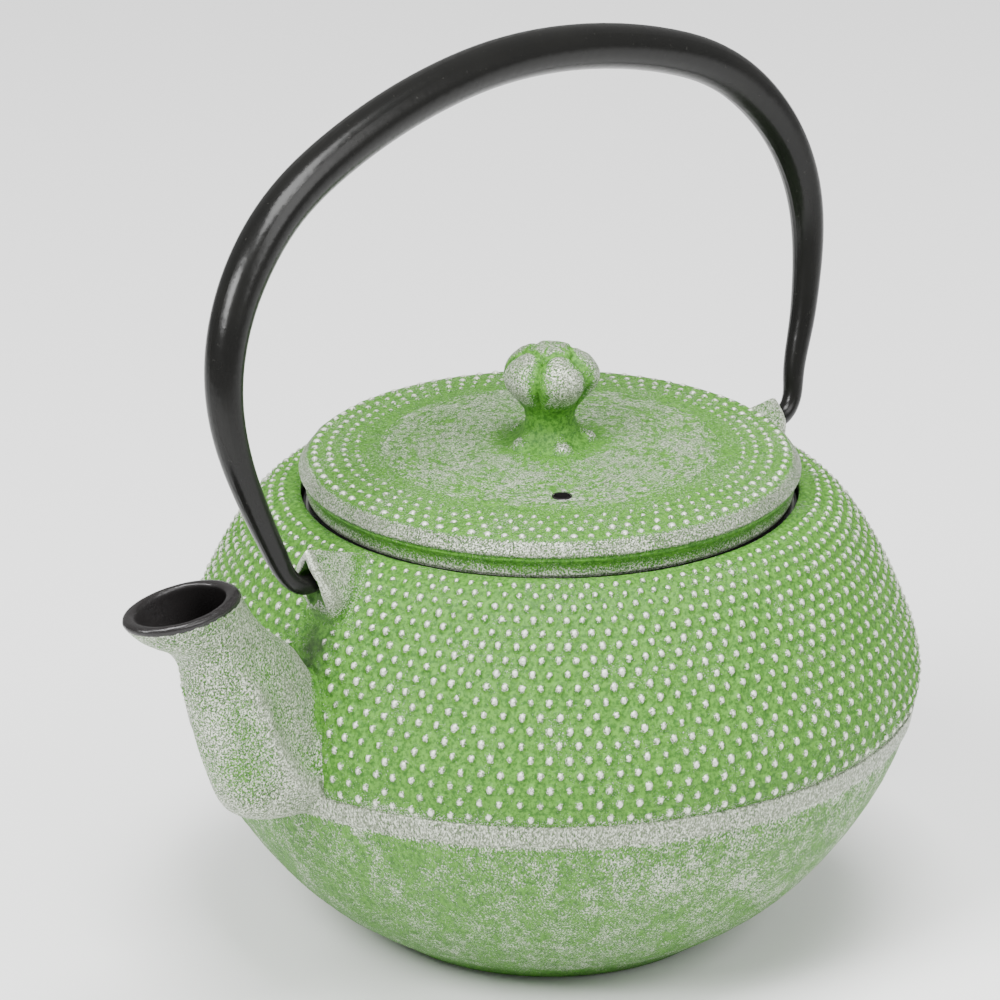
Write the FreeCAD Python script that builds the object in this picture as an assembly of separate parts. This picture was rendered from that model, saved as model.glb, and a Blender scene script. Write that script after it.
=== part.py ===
"""Cast iron teapot with a lift-off lid, a swinging bail handle and a steel infuser.

Millimetres, +Z up.  The origin is the centre of the flat base.  The spout points along -X,
and the bail turns about a line through the two ears, close to the X axis.
"""
import FreeCAD, Part
import math
import os

from FreeCAD import Vector

# ---- pot casting ----
WALL = 3.5                  # cast iron wall
FOOT_R = 34.1               # flat base
BAND_LOW_Z = 45.4           # smooth band round the belly
BAND_HIGH_Z = 49.8
BAND_LOW_R = 72.9
BAND_HIGH_R = 73.7
BAND_PROUD = 0.5            # how far the band stands out of the wall
SHOULDER_Z = 91.8           # top of the pot's mouth
MOUTH_R = 49.6
LEDGE_Z = 88.3              # ledge that carries the infuser and the lid
LEDGE_R = 43.0
FLOOR_Z = 5.0               # inside floor

# Outside of the wall as (radius, height), from the base up to the band and from there to the mouth.
LOWER_WALL = [(FOOT_R, 0.0), (38.8, 3.3), (45.4, 7.6), (52.4, 13.4), (61.2, 23.6),
              (67.7, 33.8), (BAND_LOW_R - BAND_PROUD, BAND_LOW_Z)]
UPPER_WALL = [(BAND_HIGH_R - BAND_PROUD, BAND_HIGH_Z), (73.8, 54.1), (71.5, 64.3), (67.2, 74.4),
              (61.1, 84.6), (57.3, 88.9), (53.9, 91.0), (MOUTH_R, SHOULDER_Z)]
# Inside of the wall, from the lip's underside down to the floor.
LIP_UNDER_Z = LEDGE_Z - WALL
INNER_WALL = [(50.5, LIP_UNDER_Z), (55.0, 83.4), (58.6, 80.2), (64.0, 72.2), (68.1, 63.3),
              (70.2, 53.5), (69.0, 44.0), (64.2, 33.2), (57.6, 23.9), (48.6, 14.6),
              (40.0, 8.6), (30.0, FLOOR_Z)]

# ---- spout: each section is an ellipse across the spout, from the mouth to the root ----
# (front edge x, z), (throat edge x, z), half width
SPOUT_SECTIONS = [((-114.9, 94.2), (-88.0, 96.2), 8.6),
                  ((-110.1, 89.7), (-84.2, 93.0), 7.8),
                  ((-103.1, 85.3), (-78.6, 86.8), 7.3),
                  ((-98.5, 69.4), (-71.7, 78.8), 7.7),
                  ((-93.1, 55.6), (-67.2, 71.5), 8.4),
                  ((-87.5, 47.9), (-56.6, 62.8), 9.1),
                  ((-70.0, 44.6), (-46.0, 52.0), 9.0)]
SPOUT_WALL_CHORD = 3.3      # wall at the front and the throat
SPOUT_WALL_SIDE = 2.4       # wall at the two flanks
ROOT_SECTIONS = 1           # the bore's last section stops short of the spout's root
PASSAGE_START = (-82.0, 62.0)   # round passage from the bore into the pot
PASSAGE_END = (-55.0, 52.0)
PASSAGE_R = 6.0
BORE_OVERRUN = 1.0          # how far the bore runs out of the mouth

# ---- ears: hollow hoods on the shoulder that take the bail's ends ----
FRONT_HINGE_Z = 90.3
REAR_HINGE_Z = 87.9
HOOK_R = 1.9                # round end of the bail
POCKET_R = 2.5              # round pocket in each ear
POCKET_FLOOR_X = 61.0       # the pocket's blind end
ARCH_FLOOR_X = 66.5         # the arch above the front pocket is shallower
EAR_BACK_SCALE = 0.9        # the hood is a little narrower where it leaves the shoulder
ARCH_TOP_SHARE = 0.62       # radius of the arch's round top, as a share of the pocket's
CHIN_SLOPE = 1.05           # fall of the hood's underside for each millimetre back to the wall
CHIN_RUN = 12.0             # the underside is cut as far back as this, inside the wall
FRONT_EAR = {"sign": -1, "foot_z": 73.5, "foot_half": 7.4, "hip_half": 4.4, "peak_z": 97.6,
             "rim_x": 69.2, "back_x": 50.5, "back_peak_z": 91.3, "hinge_z": FRONT_HINGE_Z,
             "arch_z": 95.4, "chin_z": 84.6}
REAR_EAR = {"sign": 1, "foot_z": 72.0, "foot_half": 7.2, "hip_half": 4.4, "peak_z": 92.6,
            "rim_x": 68.0, "back_x": 50.5, "back_peak_z": 91.5, "hinge_z": REAR_HINGE_Z,
            "arch_z": REAR_HINGE_Z + POCKET_R, "chin_z": 82.2}

# ---- bail handle ----
BAIL_LEAN = 8.9             # degrees from upright, towards +Y
BAIL_BASE_Z = 89.1          # hinge line's height at the middle
# Half of the arch as (x, distance up the arch from the hinge line, bar radius).
BAIL_ARCH = [(0.0, 89.1, 4.6), (24.0, 86.9, 4.6), (48.6, 80.4, 4.55), (62.5, 73.8, 4.5),
             (72.5, 65.2, 4.4), (79.6, 54.6, 4.1), (83.0, 41.0, 3.6), (81.0, 26.0, 2.95),
             (77.0, 14.3, 2.5), (74.1, 7.0, 2.2)]
HOOK_BEND_X = 72.2          # the bar turns in towards the ear here
HOOK_BEND_RISE = 2.4
HOOK_TURN_X = 69.4
HOOK_TURN_RISE = 0.25
HOOK_TIP_X = 62.6
BAIL_STATIONS = 41          # circles along the bar

# ---- lid ----
LID_TOP_Z = 101.7
LID_DOME = (25.0, 100.95)       # halfway down the domed top
LID_SHOULDER = (47.5, 99.0)     # where the domed top turns into the rim's bevel
LID_BEVEL_TOP = (48.8, 98.05)
LID_BEVEL_LOW = (50.1, 96.3)
LID_UNDERCUT = (49.3, 95.5)
LID_LINE = (49.4, 95.1)
LID_WAIST = (48.5, 93.6)
LID_FOOT = (48.6, 91.9)
LID_RING_R = 48.2               # ring that stands in the pot's mouth
LID_RING_TOP_Z = 91.4
LID_RING_INNER_R = 44.6
LID_RING_Z = 89.3
LID_UNDER_EDGE_Z = 95.6
LID_UNDER_MID_Z = 98.3
SKIRT_OUTER_R = 38.3            # skirt inside the infuser keeps the lid on while pouring
SKIRT_INNER_R = 35.6
SKIRT_LOW_Z = 84.0
SKIRT_ROOT_OUTER_Z = 96.3
SKIRT_ROOT_INNER_Z = 96.8
VENT_X, VENT_Y, VENT_R = -19.2, -21.4, 1.75

# ---- knob ----
KNOB_FOOT_R = 9.6
KNOB_FOOT_Z = 101.75
KNOB_FLARE = (6.6, 103.05)      # where the foot sweeps up into the neck
KNOB_NECK_R = 5.0
KNOB_NECK_Z = 107.0
KNOB_CORE = [(6.2, 109.6), (7.2, 113.2), (6.6, 117.4), (4.2, 121.0)]
KNOB_TOP_Z = 122.4
LOBES = 5
LOBE_R = 4.6
LOBE_RING_R = 4.7
LOBE_Z = 114.3
LOBE_FIRST_ANGLE = -45.0        # degrees from +X
TENON_R = 2.9
TENON_HOLE_R = 3.0
WASHER_R = 6.5
WASHER_T = 1.0
PEEN_R = 4.4
PEEN_T = 1.5
PEEN_EDGE_R = 0.9
SPOTFACE_Z = 98.0               # flat seat under the lid for the washer
SPOTFACE_LOW_R = 8.5
SPOTFACE_HIGH_R = 8.0

# ---- infuser ----
RIM_OUTER_R = 48.6
RIM_LOW_Z = 88.5
RIM_T = 0.6
COLLAR_R = 40.0
STEEL_T = 0.6
COLLAR_LOW_Z = 83.0
MESH_R = 39.35
MESH_LOW_Z = 51.4
MESH_HIGH_Z = 86.0
BASE_BAND_R = 40.0
BASE_BAND_LOW_Z = 50.4
BASE_BAND_HIGH_Z = 55.4
BASE_BAND_FLANGE_R = 35.5
BASE_Z = 51.0


def ring_point(radius, height):
    """Point of an outline in the XZ half plane."""
    return Vector(radius, 0, height)


def spline_edge(points):
    """Smooth edge through outline points."""
    curve = Part.BSplineCurve()
    curve.interpolate([ring_point(*point) for point in points])
    return curve.toShape()


def line_edges(points):
    """Straight edges that join outline points."""
    vectors = [ring_point(*point) for point in points]
    return [Part.makeLine(a, b) for a, b in zip(vectors, vectors[1:])]


def revolved(edges):
    """Full turn about Z of a closed outline."""
    face = Part.Face(Part.Wire(Part.__sortEdges__(edges)))
    solid = face.revolve(Vector(0, 0, 0), Vector(0, 0, 1), 360)
    return solid if solid.Volume > 0 else solid.reversed()


def tube(inner_r, outer_r, low_z, high_z):
    """Round ring with square edges."""
    height = high_z - low_z
    base = Vector(0, 0, low_z)
    return Part.makeCylinder(outer_r, height, base).cut(Part.makeCylinder(inner_r, height, base))


def ellipse_wire(front, throat, half_width):
    """Spout section: an ellipse with one axis from front to throat and the other along Y."""
    front_point = Vector(front[0], 0, front[1])
    throat_point = Vector(throat[0], 0, throat[1])
    centre = (front_point + throat_point) * 0.5
    ellipse = Part.Ellipse(throat_point, centre + Vector(0, half_width, 0), centre)
    return Part.Wire(ellipse.toShape())


def shrunk(section, chord_wall, side_wall):
    """The same spout section with a wall taken off all round."""
    (front_x, front_z), (throat_x, throat_z), half_width = section
    length = math.hypot(throat_x - front_x, throat_z - front_z)
    step_x = (throat_x - front_x) / length * chord_wall
    step_z = (throat_z - front_z) / length * chord_wall
    return ((front_x + step_x, front_z + step_z), (throat_x - step_x, throat_z - step_z),
            half_width - side_wall)


def lifted(section, rise):
    """A spout section moved straight up."""
    (front_x, front_z), (throat_x, throat_z), half_width = section
    return (front_x, front_z + rise), (throat_x, throat_z + rise), half_width


def spout_outside():
    return Part.makeLoft([ellipse_wire(*section) for section in SPOUT_SECTIONS], True, False)


def spout_bore():
    sections = [shrunk(section, SPOUT_WALL_CHORD, SPOUT_WALL_SIDE)
                for section in SPOUT_SECTIONS[:-ROOT_SECTIONS]]
    sections.insert(0, lifted(sections[0], BORE_OVERRUN))
    bore = Part.makeLoft([ellipse_wire(*section) for section in sections], True, False)
    start, end = ring_point(*PASSAGE_START), ring_point(*PASSAGE_END)
    return bore.fuse(Part.makeCylinder(PASSAGE_R, (end - start).Length, start, end - start))


def pot_outside():
    foot = ring_point(0, 0)
    top = ring_point(0, SHOULDER_Z)
    edges = [Part.makeLine(foot, ring_point(FOOT_R, 0)), spline_edge(LOWER_WALL)]
    edges += line_edges([LOWER_WALL[-1], (BAND_LOW_R, BAND_LOW_Z), (BAND_HIGH_R, BAND_HIGH_Z),
                         UPPER_WALL[0]])
    edges += [spline_edge(UPPER_WALL), Part.makeLine(ring_point(MOUTH_R, SHOULDER_Z), top)]
    edges.append(Part.makeLine(top, foot))
    return revolved(edges)


def pot_cavity():
    above = SHOULDER_Z + 1
    edges = line_edges([INNER_WALL[-1], (0, FLOOR_Z), (0, above), (MOUTH_R, above),
                        (MOUTH_R, LEDGE_Z), (LEDGE_R, LEDGE_Z), (LEDGE_R, LIP_UNDER_Z),
                        INNER_WALL[0]])
    edges.append(spline_edge(INNER_WALL))
    return revolved(edges)


def arch_wire(x, foot_z, foot_half, hip_z, hip_half, peak_z):
    """Pointed arch across the pot's axis: foot, hips at the hinge, peak."""
    right = [Vector(x, -foot_half, foot_z), Vector(x, -hip_half, hip_z), Vector(x, 0, peak_z)]
    left = [Vector(x, 0, peak_z), Vector(x, hip_half, hip_z), Vector(x, foot_half, foot_z)]
    flanks = []
    for points in (right, left):
        curve = Part.BSplineCurve()
        curve.interpolate(points)
        flanks.append(curve.toShape())
    return Part.Wire(flanks + [Part.makeLine(left[-1], right[0])])


def ear(shape):
    """Hood that grows out of the shoulder; its mouth faces away from the pot."""
    sign = shape["sign"]
    rim = arch_wire(sign * shape["rim_x"], shape["foot_z"], shape["foot_half"],
                    shape["hinge_z"], shape["hip_half"], shape["peak_z"])
    back_drop = shape["peak_z"] - shape["back_peak_z"]
    back = arch_wire(sign * shape["back_x"], shape["foot_z"] - back_drop,
                     shape["foot_half"] * EAR_BACK_SCALE, shape["hinge_z"] - back_drop,
                     shape["hip_half"] * EAR_BACK_SCALE, shape["back_peak_z"])
    return Part.makeLoft([back, rim], True, True).cut(under_chin(shape))


def under_chin(shape):
    """The space under a hood, whose underside falls back to the pot's wall."""
    front_x, half = shape["rim_x"] + 1.0, shape["foot_half"] + 1.0
    back_x = front_x - CHIN_RUN
    front_z = shape["chin_z"] + CHIN_SLOPE
    floor_z = shape["foot_z"] - CHIN_RUN
    outline = [(front_x, front_z), (back_x, front_z - CHIN_RUN * CHIN_SLOPE), (back_x, floor_z),
               (front_x, floor_z)]
    corners = [Vector(shape["sign"] * x, -half, z) for x, z in outline]
    return Part.Face(Part.makePolygon(corners + corners[:1])).extrude(Vector(0, 2 * half, 0))


def ear_pocket(shape):
    """Blind slot with a round floor and a round top, for the bail's end."""
    sign = shape["sign"]
    direction = Vector(sign, 0, 0)
    mouth_x = shape["rim_x"] + 2.0
    low = Part.makeCylinder(POCKET_R, mouth_x - POCKET_FLOOR_X,
                            Vector(sign * POCKET_FLOOR_X, 0, shape["hinge_z"]), direction)
    rise = shape["arch_z"] - POCKET_R - shape["hinge_z"]
    if rise <= 0:
        return low
    top_r = POCKET_R * ARCH_TOP_SHARE
    start = Vector(sign * ARCH_FLOOR_X, 0, 0)
    length = mouth_x - ARCH_FLOOR_X
    top = Part.makeCylinder(top_r, length, start + Vector(0, 0, shape["arch_z"] - top_r), direction)
    hull = [Vector(start.x, -POCKET_R, shape["hinge_z"]), Vector(start.x, POCKET_R, shape["hinge_z"]),
            Vector(start.x, top_r, shape["arch_z"] - top_r),
            Vector(start.x, -top_r, shape["arch_z"] - top_r)]
    slot = Part.Face(Part.makePolygon(hull + hull[:1])).extrude(direction * length)
    return low.fuse(slot).fuse(top)


def pot_body():
    """The bowl with its two ears, pierced for the spout."""
    pot = pot_outside().fuse([ear(FRONT_EAR), ear(REAR_EAR)])
    pot = pot.cut(pot_cavity()).cut(spout_bore())
    for shape in (FRONT_EAR, REAR_EAR):
        pot = pot.cut(ear_pocket(shape))
    return biggest(pot)


def pot_spout():
    """The spout as far as the bowl's outside, where it meets the bowl and the front ear face to face."""
    neighbours = pot_outside().fuse(ear(FRONT_EAR))
    return biggest(spout_outside().cut(spout_bore()).cut(neighbours))


def biggest(shape):
    """The main solid of a shape, without loose slivers."""
    return max(shape.Solids, key=lambda solid: solid.Volume)


def bail_point(x, rise):
    """Point of the leaning arch; rise is measured up the arch from the hinge line."""
    lean = math.radians(BAIL_LEAN)
    return Vector(x, rise * math.sin(lean), BAIL_BASE_Z + rise * math.cos(lean))


def hook_points(sign, hinge_z):
    """The bar's last stretch: a bend in towards the ear and a straight tip in the pocket."""
    return [bail_point(sign * HOOK_BEND_X, hinge_z - BAIL_BASE_Z + HOOK_BEND_RISE),
            Vector(sign * HOOK_TURN_X, 0, hinge_z + HOOK_TURN_RISE),
            Vector(sign * (HOOK_TURN_X + HOOK_TIP_X) / 2, 0, hinge_z),
            Vector(sign * HOOK_TIP_X, 0, hinge_z)]


def bail_handle():
    """Tapered round bar: circles along a smooth arch, lofted."""
    rear_half = [(bail_point(x, rise), radius) for x, rise, radius in BAIL_ARCH]
    rear_half += [(point, HOOK_R) for point in hook_points(1, REAR_HINGE_Z)]
    front_half = [(bail_point(-x, rise), radius) for x, rise, radius in BAIL_ARCH[1:]]
    front_half += [(point, HOOK_R) for point in hook_points(-1, FRONT_HINGE_Z)]
    stations = front_half[::-1] + rear_half
    path = Part.BSplineCurve()
    path.interpolate([point for point, radius in stations])
    knots = [path.parameter(point) for point, radius in stations]
    radii = [radius for point, radius in stations]
    circles = []
    for index in range(BAIL_STATIONS):
        place = index / (BAIL_STATIONS - 1) * (len(stations) - 1)
        below = min(int(place), len(stations) - 2)
        share = place - below
        parameter = knots[below] + share * (knots[below + 1] - knots[below])
        radius = radii[below] + share * (radii[below + 1] - radii[below])
        tangent = path.tangent(parameter)[0]
        circles.append(Part.Wire(Part.makeCircle(radius, path.value(parameter), tangent)))
    return Part.makeLoft(circles, True, False)


def lid():
    dome = Part.Arc(ring_point(0, LID_TOP_Z), ring_point(*LID_DOME), ring_point(*LID_SHOULDER))
    edges = [dome.toShape()]
    edges += line_edges([LID_SHOULDER, LID_BEVEL_TOP, LID_BEVEL_LOW, LID_UNDERCUT, LID_LINE])
    edges.append(spline_edge([LID_LINE, LID_WAIST, LID_FOOT]))
    edges += line_edges([LID_FOOT, (LID_RING_R, LID_RING_TOP_Z), (LID_RING_R, LID_RING_Z),
                         (LID_RING_INNER_R, LID_RING_Z), (LID_RING_INNER_R, LID_UNDER_EDGE_Z),
                         (SKIRT_OUTER_R, SKIRT_ROOT_OUTER_Z), (SKIRT_OUTER_R, SKIRT_LOW_Z),
                         (SKIRT_INNER_R, SKIRT_LOW_Z), (SKIRT_INNER_R, SKIRT_ROOT_INNER_Z),
                         (SPOTFACE_LOW_R, LID_UNDER_MID_Z), (SPOTFACE_HIGH_R, SPOTFACE_Z),
                         (0, SPOTFACE_Z), (0, LID_TOP_Z)])
    plate = revolved(edges)
    drill_length = LID_TOP_Z - SKIRT_LOW_Z
    tenon_hole = Part.makeCylinder(TENON_HOLE_R, drill_length, Vector(0, 0, SKIRT_LOW_Z))
    vent = Part.makeCylinder(VENT_R, drill_length, Vector(VENT_X, VENT_Y, SKIRT_LOW_Z))
    return plate.cut(tenon_hole).cut(vent)


def lid_knob():
    """Bud with five lobes on a flared neck, and the tenon that is peened under the lid."""
    outline = [(KNOB_FOOT_R, KNOB_FOOT_Z), KNOB_FLARE, (KNOB_NECK_R, KNOB_NECK_Z)]
    edges = [spline_edge(outline), spline_edge([outline[-1]] + KNOB_CORE + [(0, KNOB_TOP_Z)])]
    edges += line_edges([(0, KNOB_TOP_Z), (0, KNOB_FOOT_Z), (KNOB_FOOT_R, KNOB_FOOT_Z)])
    knob = revolved(edges)
    for index in range(LOBES):
        angle = math.radians(LOBE_FIRST_ANGLE + index * 360 / LOBES)
        centre = Vector(LOBE_RING_R * math.cos(angle), LOBE_RING_R * math.sin(angle), LOBE_Z)
        knob = knob.fuse(Part.makeSphere(LOBE_R, centre))
    washer_low = SPOTFACE_Z - WASHER_T
    tenon = Part.makeCylinder(TENON_R, KNOB_NECK_Z - washer_low, Vector(0, 0, washer_low))
    peen = Part.makeCylinder(PEEN_R, PEEN_T, Vector(0, 0, washer_low - PEEN_T))
    lowest_edge = min(peen.Edges, key=lambda edge: edge.BoundBox.ZMax)
    return knob.fuse([tenon, peen.makeFillet(PEEN_EDGE_R, [lowest_edge])]).removeSplitter()


def knob_washer():
    return tube(TENON_HOLE_R, WASHER_R, SPOTFACE_Z - WASHER_T, SPOTFACE_Z)


def infuser_rim():
    """Pressed ring: a flat flange on the pot's ledge, with a collar that holds the wall."""
    flange = tube(COLLAR_R - STEEL_T, RIM_OUTER_R, RIM_LOW_Z, RIM_LOW_Z + RIM_T)
    collar = tube(COLLAR_R - STEEL_T, COLLAR_R, COLLAR_LOW_Z, RIM_LOW_Z)
    return flange.fuse(collar).removeSplitter()


def infuser_wall():
    return tube(MESH_R - STEEL_T / 2, MESH_R, MESH_LOW_Z, MESH_HIGH_Z)


def infuser_base_band():
    """Folded ring that joins the wall to the base."""
    wrap = tube(BASE_BAND_R - STEEL_T, BASE_BAND_R, BASE_BAND_LOW_Z, BASE_BAND_HIGH_Z)
    flange = tube(BASE_BAND_FLANGE_R, BASE_BAND_R - STEEL_T, BASE_BAND_LOW_Z,
                  BASE_BAND_LOW_Z + STEEL_T)
    return wrap.fuse(flange).removeSplitter()


def infuser_base():
    base = Vector(0, 0, BASE_Z)
    return Part.makeCylinder(MESH_R - STEEL_T, STEEL_T / 2, base)


NODES = {
    "pot_body": pot_body,
    "pot_spout": pot_spout,
    "lid": lid,
    "lid_knob": lid_knob,
    "knob_washer": knob_washer,
    "bail_handle": bail_handle,
    "infuser_rim": infuser_rim,
    "infuser_wall": infuser_wall,
    "infuser_base_band": infuser_base_band,
    "infuser_base": infuser_base,
}

os.makedirs("parts", exist_ok=True)
for name, make in NODES.items():
    shape = make()
    shape.exportStep(f"parts/{name}.step")
    box = shape.optimalBoundingBox()
    print(f"{name}: {len(shape.Solids)} solid, valid {shape.isValid()}, {shape.Volume / 1000:.1f} cm3,"
          f" z {box.ZMin:.1f}..{box.ZMax:.1f}, x {box.XMin:.1f}..{box.XMax:.1f}")
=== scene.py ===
"""Cast iron teapot: the visual model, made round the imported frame.

Lengths are in millimetres until a mesh is made.  +Z is up, the spout points along -X, and the
bail turns about a line close to the X axis.
"""

import itertools
import math

import bpy
import numpy as np
import openvdb
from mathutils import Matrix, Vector
from mathutils.bvhtree import BVHTree


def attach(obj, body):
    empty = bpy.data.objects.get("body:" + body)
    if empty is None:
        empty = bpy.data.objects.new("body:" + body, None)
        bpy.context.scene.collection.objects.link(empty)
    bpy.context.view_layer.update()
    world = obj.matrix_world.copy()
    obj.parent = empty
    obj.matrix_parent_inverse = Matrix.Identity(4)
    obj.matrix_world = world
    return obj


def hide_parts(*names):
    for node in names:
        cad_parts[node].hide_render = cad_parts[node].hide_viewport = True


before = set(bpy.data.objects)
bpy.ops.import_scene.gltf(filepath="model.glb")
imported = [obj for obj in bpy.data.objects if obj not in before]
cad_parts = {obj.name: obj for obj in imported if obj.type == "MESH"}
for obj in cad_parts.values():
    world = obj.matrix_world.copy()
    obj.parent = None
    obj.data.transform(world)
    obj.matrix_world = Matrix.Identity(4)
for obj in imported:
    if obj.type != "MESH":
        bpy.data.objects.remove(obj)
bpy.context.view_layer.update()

MM = 0.001
SEED = 7

# ---- pot ----
BAND_LOW_Z = 45.4
BAND_HIGH_Z = 49.8
MOUTH_R = 49.6
LEDGE_R = 43.0
LEDGE_Z = 88.3
LIP_ROUND = 0.5             # rounding of the mouth's edge
LIP_IN_R = 49.5             # inside of the mouth
BASE_RECESS = 0.35          # height of the base's middle over the foot ring
AXIS_GAP = 0.02             # turned sheets stop this far from the axis

HOBNAILS = 120              # in each ring
HOBNAIL_ROWS = 18
FIRST_ROW_ARC = 3.7         # distance along the wall from the mouth's edge to the first ring
ROW_STEP = 2.5
ROW_STEP_GROWTH = 0.0125
HOBNAIL_HEIGHT = 0.85
HOBNAIL_HALF_WIDTH = 1.12
HOBNAIL_HALF_HEIGHT = 1.28
COLUMNS_PER_HOBNAIL = 12
SHELL_STEP = 0.3            # row spacing of the hobnail shell's mesh
SECTORS = 4

# ---- spout ----
# from the mouth down: (front x, z), (throat x, z), half width, squareness and pinch, the share by
# which the throat is narrower than the front
SPOUT_SECTIONS = [((-115.4, 94.9), (-88.6, 97.2), 8.9, 2.0, 0.0),
                  ((-110.2, 90.0), (-86.4, 92.8), 7.8, 2.1, 0.0),
                  ((-102.7, 85.3), (-82.0, 86.8), 7.1, 2.2, 0.06),
                  ((-97.3, 69.4), (-73.2, 79.2), 7.5, 2.25, 0.20),
                  ((-92.6, 55.6), (-67.2, 71.5), 8.0, 2.3, 0.27),
                  ((-87.3, 47.9), (-56.6, 62.8), 8.7, 2.3, 0.27),
                  ((-70.0, 44.6), (-46.0, 52.0), 8.7, 2.2, 0.15)]
SPOUT_WALL_CHORD = 3.3
SPOUT_WALL_SIDE = 2.1
SPOUT_LIP_ROUND = 1.3
PASSAGE_START = (-82.0, 62.0)
PASSAGE_END = (-55.0, 52.0)
PASSAGE_R = 6.0
BORE_MARGIN = 0.7           # a point this near the bore counts as part of it
BORE_DEEPEST = 8.0          # no point inside the bore lies deeper than this
BORE_HALF_WIDTH = 9.0
BORE_OVERSHOOT = 3.0        # the bore's cutter ends this far above the mouth
SPOUT_VOXEL = 0.42
SPOUT_COLUMNS = 96
BAR_COLUMNS = 48            # of the round cutters
SPOUT_FILLET = 1.9
EAR_FILLET = 1.5
SLAB_DROP = 0.4             # the wall that spout and ears melt into lies this far under the outside
SLAB_DEPTH = 4.0            # and is this thick
SKIN_START = -0.08          # a fitting's skin is kept from this height over the smooth wall
TUCK = 0.15                 # its cut edge then goes this far under the wall
# the soft ridge on each flank, from the neck down and back to the band's top edge
SPOUT_RIDGE = [(-97.3, 6.8, 87.3), (-95.0, 6.4, 83.4), (-90.0, 7.2, 77.0), (-87.1, 7.7, 71.1),
               (-84.9, 8.0, 65.3), (-81.8, 8.3, 58.8), (-77.5, 8.8, 54.2), (-74.6, 9.6, 52.6),
               (-72.6, 12.5, 50.6)]
RIDGE_HEIGHT = 1.1
RIDGE_HALF = 2.0
HOLLOW_DEPTH = 0.5          # the hollows on both sides of the ridge
HOLLOW_AWAY = 5.0

# ---- ears ----
HOOK_POCKET_R = 2.5
EAR_VOXEL = 0.26
CHIN_RUN = 9.0              # the underside falls back to the wall over this length
CHIN_SLOPE = 2.0            # millimetres down for each millimetre back
FRONT_EAR = {"sign": -1, "foot_z": 78.6, "foot_half": 1.6, "hinge_z": 90.3, "hip_half": 4.2,
             "peak_z": 97.9, "rim_x": 68.6, "back_x": 50.5, "back_drop": 6.2, "floor_x": 61.4,
             "arch_z": 95.6, "arch_floor_x": 64.6, "chin_z": 92.0}
REAR_EAR = {"sign": 1, "foot_z": 76.2, "foot_half": 1.6, "hinge_z": 87.9, "hip_half": 4.5,
            "peak_z": 93.0, "rim_x": 67.6, "back_x": 50.5, "back_drop": 1.0, "floor_x": 61.4,
            "arch_z": 90.5, "arch_floor_x": 64.6, "chin_z": 89.6}

# ---- lid ----
LID_DOME = [(0.0, 101.7), (25.0, 100.95), (47.5, 99.0)]
LID_FOOT = [(48.2, 89.3), (48.2, 91.4), (48.6, 91.9)]
LID_HOLLOW = [(48.5, 93.6), (49.4, 95.1)]
LID_BEVEL = [(49.3, 95.5), (50.1, 96.3), (48.9, 98.15)]
LID_DOTS = 88
COLUMNS_PER_LID_DOT = 11
LID_DOT_RINGS = [46.8, 43.85, 40.9, 38.4]
LID_DOT_HEIGHT = 0.6
LID_DOT_HALF = 0.95
LID_SPLIT_R = 34.0          # the dotted ring and the plain middle are separate meshes
VENT = (-19.2, -21.4)
VENT_R = 1.75
VENT_COLUMNS = 40

# ---- knob ----
LOBES = 5
LOBE_FIRST_ANGLE = -45.0


# ---- numbers ----
RANDOM_TABLE = np.random.RandomState(SEED).uniform(-1, 1, 8192)


def lattice_noise(points, cell, seed=0):
    """Smooth noise from -1 to 1 at points of shape (..., 3)."""
    spot = np.asarray(points, float) / cell
    base = np.floor(spot).astype(np.int64)
    part = spot - base
    part = part * part * (3 - 2 * part)
    total = np.zeros(spot.shape[:-1])
    for corner in itertools.product((0, 1), repeat=3):
        at = base + corner
        index = at[..., 0] * 73856093 + at[..., 1] * 19349663 + at[..., 2] * 83492791 + seed * 9176
        weight = np.prod(np.where(corner, part, 1 - part), axis=-1)
        total += weight * RANDOM_TABLE[index % len(RANDOM_TABLE)]
    return total


def cast_noise(points, cell, seed=0):
    """Two octaves of noise, for cast surfaces."""
    return lattice_noise(points, cell, seed) + 0.5 * lattice_noise(points, cell * 0.47, seed + 1)


def smoothstep(low, high, value):
    """Eased share, from 0 at low to 1 at high."""
    share = np.clip((value - low) / (high - low), 0, 1)
    return share * share * (3 - 2 * share)


def spline(points, samples):
    """Natural cubic curve through points, sampled evenly along its length."""
    points = np.asarray(points, float)
    knots = np.concatenate([[0], np.cumsum(np.linalg.norm(np.diff(points, axis=0), axis=1))])
    gaps = np.diff(knots)
    size = len(points)
    matrix = np.eye(size)
    right = np.zeros_like(points)
    for k in range(1, size - 1):
        matrix[k, k - 1:k + 2] = gaps[k - 1], 2 * (gaps[k - 1] + gaps[k]), gaps[k]
        right[k] = 6 * ((points[k + 1] - points[k]) / gaps[k] - (points[k] - points[k - 1]) / gaps[k - 1])
    bend = np.linalg.solve(matrix, right)

    def value(at):
        k = np.clip(np.searchsorted(knots, at, side="right") - 1, 0, size - 2)
        gap = gaps[k][:, None]
        a = (knots[k + 1] - at)[:, None] / gap
        b = 1 - a
        curved = ((a ** 3 - a) * bend[k] + (b ** 3 - b) * bend[k + 1]) * gap ** 2 / 6
        return a * points[k] + b * points[k + 1] + curved

    fine = value(np.linspace(0, knots[-1], samples * 8))
    return even(fine, samples)


def even(points, samples):
    """A polyline sampled evenly along its length."""
    points = np.asarray(points, float)
    arc = arc_length(points)
    at = np.linspace(0, arc[-1], samples)
    return np.stack([np.interp(at, arc, points[:, k]) for k in range(points.shape[1])], axis=1)


def arc_length(points):
    """Each point's distance along a polyline."""
    return np.concatenate([[0], np.cumsum(np.linalg.norm(np.diff(points, axis=0), axis=1))])


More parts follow.
